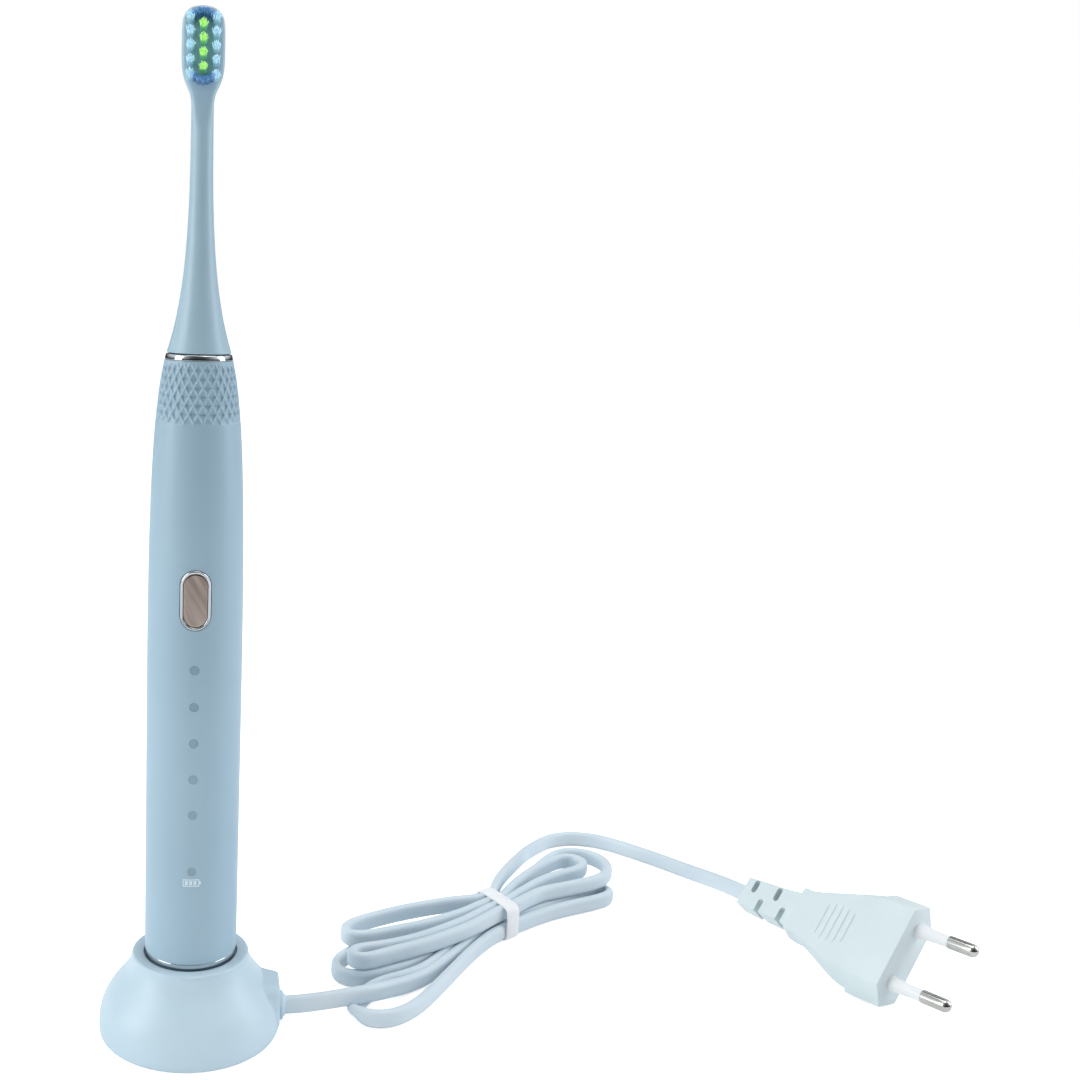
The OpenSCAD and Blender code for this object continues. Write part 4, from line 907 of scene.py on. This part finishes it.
class BRUSH_OT_controls(bpy.types.Operator):
    """Button, its bezel and the printed battery sign"""
    bl_idname = "brush.controls"
    bl_label = "Controls"

    def execute(self, context):
        # bezel: a small rounded section carried round the slot's outline on the handle's cylinder
        x, z, nx, nz = stadium(BEZEL_W / 2 - 0.13, BEZEL_H / 2 - 0.13, 144)
        section = [(0.0, -1.4), (0.0, -0.05), (0.06, 0.1), (0.2, 0.22), (0.38, 0.27), (0.56, 0.22), (0.7, 0.1),
                   (0.77, -0.08), (0.78, -1.4)]
        grid = []
        for inset, height in section:
            px, pz = x - nx * inset, z - nz * inset
            grid.append(np.stack([px, -np.sqrt((BEZEL_R + height) ** 2 - px ** 2), BUTTON_Z + pz], -1))
        piece("button_frame", tube_mesh([np.stack(grid, 1)], wrap_rows=True), "handle", "bright_trim", "button_bezel",
              crease=50)

        # button: rings of the slot's outline drawn in towards its spine on a cylinder, let down by drop at the rim
        gap = BEZEL_RIM + 0.08
        half_w, half_h = BEZEL_W / 2 - gap, BEZEL_H / 2 - gap
        rim = [(1.0, 1.6), (1.0, 0.25), (0.97, 0.08), (0.92, 0.02)]
        rows = []
        for share, drop in rim + [(k, 0.0) for k in np.linspace(0.84, 0.06, 12)]:
            px, pz, _, _ = stadium(half_w * share, half_h - half_w * (1 - share), 144)
            rows.append(np.stack([px, drop - np.sqrt(BUTTON_R ** 2 - px ** 2), BUTTON_Z + pz], -1))
        piece("button_face", tube_mesh([np.stack(rows)]), "power_button", "button_mirror", "power_button", crease=50)

        # battery sign: an outline with its knob and three bars, (x from, x to, z from, z to), as thin plates bent on
        # the handle, 0.03 mm proud
        bars = [(-2.4, 2.1, 0.78, 1.05), (-2.4, 2.1, -1.05, -0.78), (-2.4, -2.13, -0.78, 0.78),
                (1.83, 2.1, -0.78, 0.78), (2.1, 2.5, -0.4, 0.4)]
        bars += [(-1.8 + 1.15 * i, -1.0 + 1.15 * i, -0.6, 0.6) for i in range(3)]
        steps = 8
        verts, faces = [], []
        for x0, x1, z0, z1 in bars:
            start = len(verts)
            xs = np.linspace(x0, x1, steps)
            x, z = np.concatenate([xs, xs[::-1]]), SIGN_Z + np.repeat([z0, z1], steps)
            for r in (HANDLE_R - 0.1, HANDLE_R + 0.03):
                verts += np.stack([x, -np.sqrt(r * r - x * x), z], -1).tolist()
            faces += grid_faces(2, 2 * steps, False, start).tolist()
            for base in (start, start + 2 * steps):
                faces += [[base + k, base + k + 1, base + 2 * steps - 2 - k, base + 2 * steps - 1 - k]
                          for k in range(steps - 1)]
        piece("battery_sign", (verts, faces), "handle", "handle_plastic", material="pad_print")
        return {"FINISHED"}


# ---- brush head ----

def head_outline(z):
    """Half width, half depth and squareness of the head at height z: round neck, oval plate, rounded tip."""
    tall = HEAD_TOP - HEAD_Z
    flare = bezier((SKIRT_R, HEAD_Z), (SKIRT_R * 0.667, HEAD_Z + tall * 0.105), (NECK_R + 0.4, HEAD_Z + tall * 0.23),
                   (NECK_R, HEAD_Z + tall * 0.535), 60)
    r = np.interp(z, flare[:, 1], flare[:, 0])
    plate_z = 236   # from here up the outline leaves the round neck for the plate
    knots = [236, 248.5, 252.3, 254.2, 255.4, 256.6, 258, 259.4, 261, 263, 269, 271, 272.5, 273.7, 274.6, 275.1, 275.4]
    widths = [NECK_R, 2.8, 2.8, 3.05, 3.5, 4.1, 4.7, 5.1, 5.3, 5.38, 5.38, 5.3, 5.0, 4.35, 3.4, 2.4, 0.9]
    w = np.where(z < plate_z, r, np.interp(z, knots, widths))
    d = np.where(z < plate_z, r, np.interp(z, [236, 246, 250, 253.5, 256, 273.9, 274.9, 275.4],
                                           [NECK_R, 2.85, 2.6, 2.15, 2.0, 2.0, 1.6, 0.7]))
    n = np.interp(z, [246, 256], [2.0, 5.0])
    return w, d, n


class BRUSH_OT_head(bpy.types.Operator):
    """Brush head: skirt, neck and bristle plate as one hollow loft"""
    bl_idname = "brush.head"
    bl_label = "Brush head"

    def execute(self, context):
        columns = 120
        a = (np.arange(columns) + 0.5) / columns * TAU
        z = np.concatenate([[HEAD_Z, HEAD_Z + 0.05, HEAD_Z + 0.2], np.linspace(191.2, 246, 60),
                            np.linspace(247, 272, 64), np.linspace(272.3, 275.4, 22)])
        w, d, n = head_outline(z)
        for q in (w, d):   # the knots' corners are averaged out over five rows
            q[10:-8] = np.convolve(q, np.ones(5) / 5, "same")[10:-8]
        w[:2], d[:2] = [8.15, 8.32], [8.15, 8.32]
        # section |x/w|^n + |y/d|^n = 1
        c, s = np.cos(a)[None, :], np.sin(a)[None, :]
        e = (2 / n)[:, None]
        x = w[:, None] * np.sign(c) * np.abs(c) ** e
        y = d[:, None] * np.sign(s) * np.abs(s) ** e
        outer = np.stack([x, y, np.repeat(z[:, None], columns, 1)], -1)
        # the hollow that takes the shaft's seal and socket, (radius, height), from its closed end down to the skirt
        hollow = np.array([(3.0, 212.2), (3.0, 192.4), (4.95, 192.2), (5.0, 190.8), (5.2, HEAD_Z)])
        inner = np.stack([hollow[:, :1] * c, hollow[:, :1] * s, np.repeat(hollow[:, 1:], columns, 1)], -1)
        piece("head_moulding", tube_mesh([np.concatenate([inner, outer])]), "brush_head", "head_plastic",
              "brush_head_shell", crease=40)
        return {"FINISHED"}


def tuft_places():
    """Middles of the tufts on the plate, (x, z), their radius and length, by colour: green down the middle, white on
    both sides, and blue in a bow over each end."""
    middle, pitch = HEAD_TOP - PLATE_H / 2 + 0.2, 3.32
    green = [(0, middle + (i - 1.5) * pitch) for i in range(4)]
    white = [(s * 3.15, middle + (i - 2) * pitch) for s in (-1, 1) for i in range(5)]
    blue = [(i * 1.12, middle + s * (7.95 - i * i * 0.2)) for s in (-1, 1) for i in range(-2, 3)]
    return {"green": (green, 0.95, 9.6), "white": (white, 0.95, 9.6), "blue": (blue, 0.62, 9.7)}


class BRUSH_OT_bristles(bpy.types.Operator):
    """Bristles, each tuft a bundle of round ended filaments"""
    bl_idname = "brush.bristles"
    bl_label = "Bristles"

    def execute(self, context):
        thick = sizes().filament_r   # real filaments are 0.08 mm in radius; these are as coarse as they need to show
        chance = np.random.default_rng(11)
        b = np.arange(6) / 6 * TAU
        # along a filament: share of its length, and its radius there as a share of the full one
        share, narrow = np.array([(0.0, 1.0), (0.5, 1.0), (0.955, 1.0), (0.985, 0.75), (1.0, 0.3)]).T
        splay, root = 1 + 0.22 * share ** 2, 1.6
        for colour, (places, radius, length) in tuft_places().items():
            count = int(0.5 * (radius / thick) ** 2)
            k = np.arange(count) + 0.5
            turn, out = k * GOLDEN_TURN, np.sqrt(k / count) * (radius - thick)
            cx, cz = out * np.cos(turn), out * np.sin(turn)
            grids = []
            for x, z in places:
                lean = chance.normal(0, 0.10, (count, 2))
                tall = length + 0.4 + chance.normal(0, 0.12, (count, 1))
                px = x + cx[:, None] * splay + lean[:, :1] * share ** 2
                pz = z + cz[:, None] * splay + lean[:, 1:] * share ** 2
                py = -root - tall * share
                grids += list(np.stack([px[..., None] + thick * narrow[:, None] * np.cos(b),
                                        np.repeat(py[..., None], len(b), 2),
                                        pz[..., None] + thick * narrow[:, None] * np.sin(b)], -1))
            piece(f"{colour}_filaments", tube_mesh(grids), "brush_head", f"bristle_{colour}", f"bristles_{colour}",
                  crease=70)
        return {"FINISHED"}


# ---- carried-over nodes ----

class BRUSH_OT_inner_parts(bpy.types.Operator):
    """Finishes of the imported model's own nodes"""
    bl_idname = "brush.inner_parts"
    bl_label = "Inner parts"

    def execute(self, context):
        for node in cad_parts.values():
            if not node.hide_render:
                for held in node.material_slots:
                    held.material = coat(SLOT_FINISH[held.material.name.split(".")[0]])
        return {"FINISHED"}


class BRUSH_PT_panel(bpy.types.Panel):
    """Builders and sizes"""
    bl_label = "Toothbrush"
    bl_space_type = "VIEW_3D"
    bl_region_type = "UI"
    bl_category = "Toothbrush"

    def draw(self, context):
        for group in (context.scene.brush_sizes, context.scene.brush_colours):
            for name in group.__annotations__:
                self.layout.prop(group, name)
        for step in STEPS:
            self.layout.operator(step.bl_idname)


STEPS = (BRUSH_OT_stage, BRUSH_OT_plug, BRUSH_OT_lead, BRUSH_OT_charger, BRUSH_OT_handle, BRUSH_OT_controls,
         BRUSH_OT_head, BRUSH_OT_bristles, BRUSH_OT_inner_parts)
CLASSES = (BrushSizes, BrushColours, *STEPS, BRUSH_PT_panel)


def register():
    for cls in CLASSES:
        bpy.utils.register_class(cls)
    bpy.types.Scene.brush_sizes = bpy.props.PointerProperty(type=BrushSizes)
    bpy.types.Scene.brush_colours = bpy.props.PointerProperty(type=BrushColours)


def unregister():
    del bpy.types.Scene.brush_sizes
    del bpy.types.Scene.brush_colours
    for cls in reversed(CLASSES):
        bpy.utils.unregister_class(cls)


def main():
    """Builds everything in order."""
    register()
    for step in STEPS:
        group, name = step.bl_idname.split(".")
        getattr(getattr(bpy.ops, group), name)()


if __name__ == "__main__":
    main()
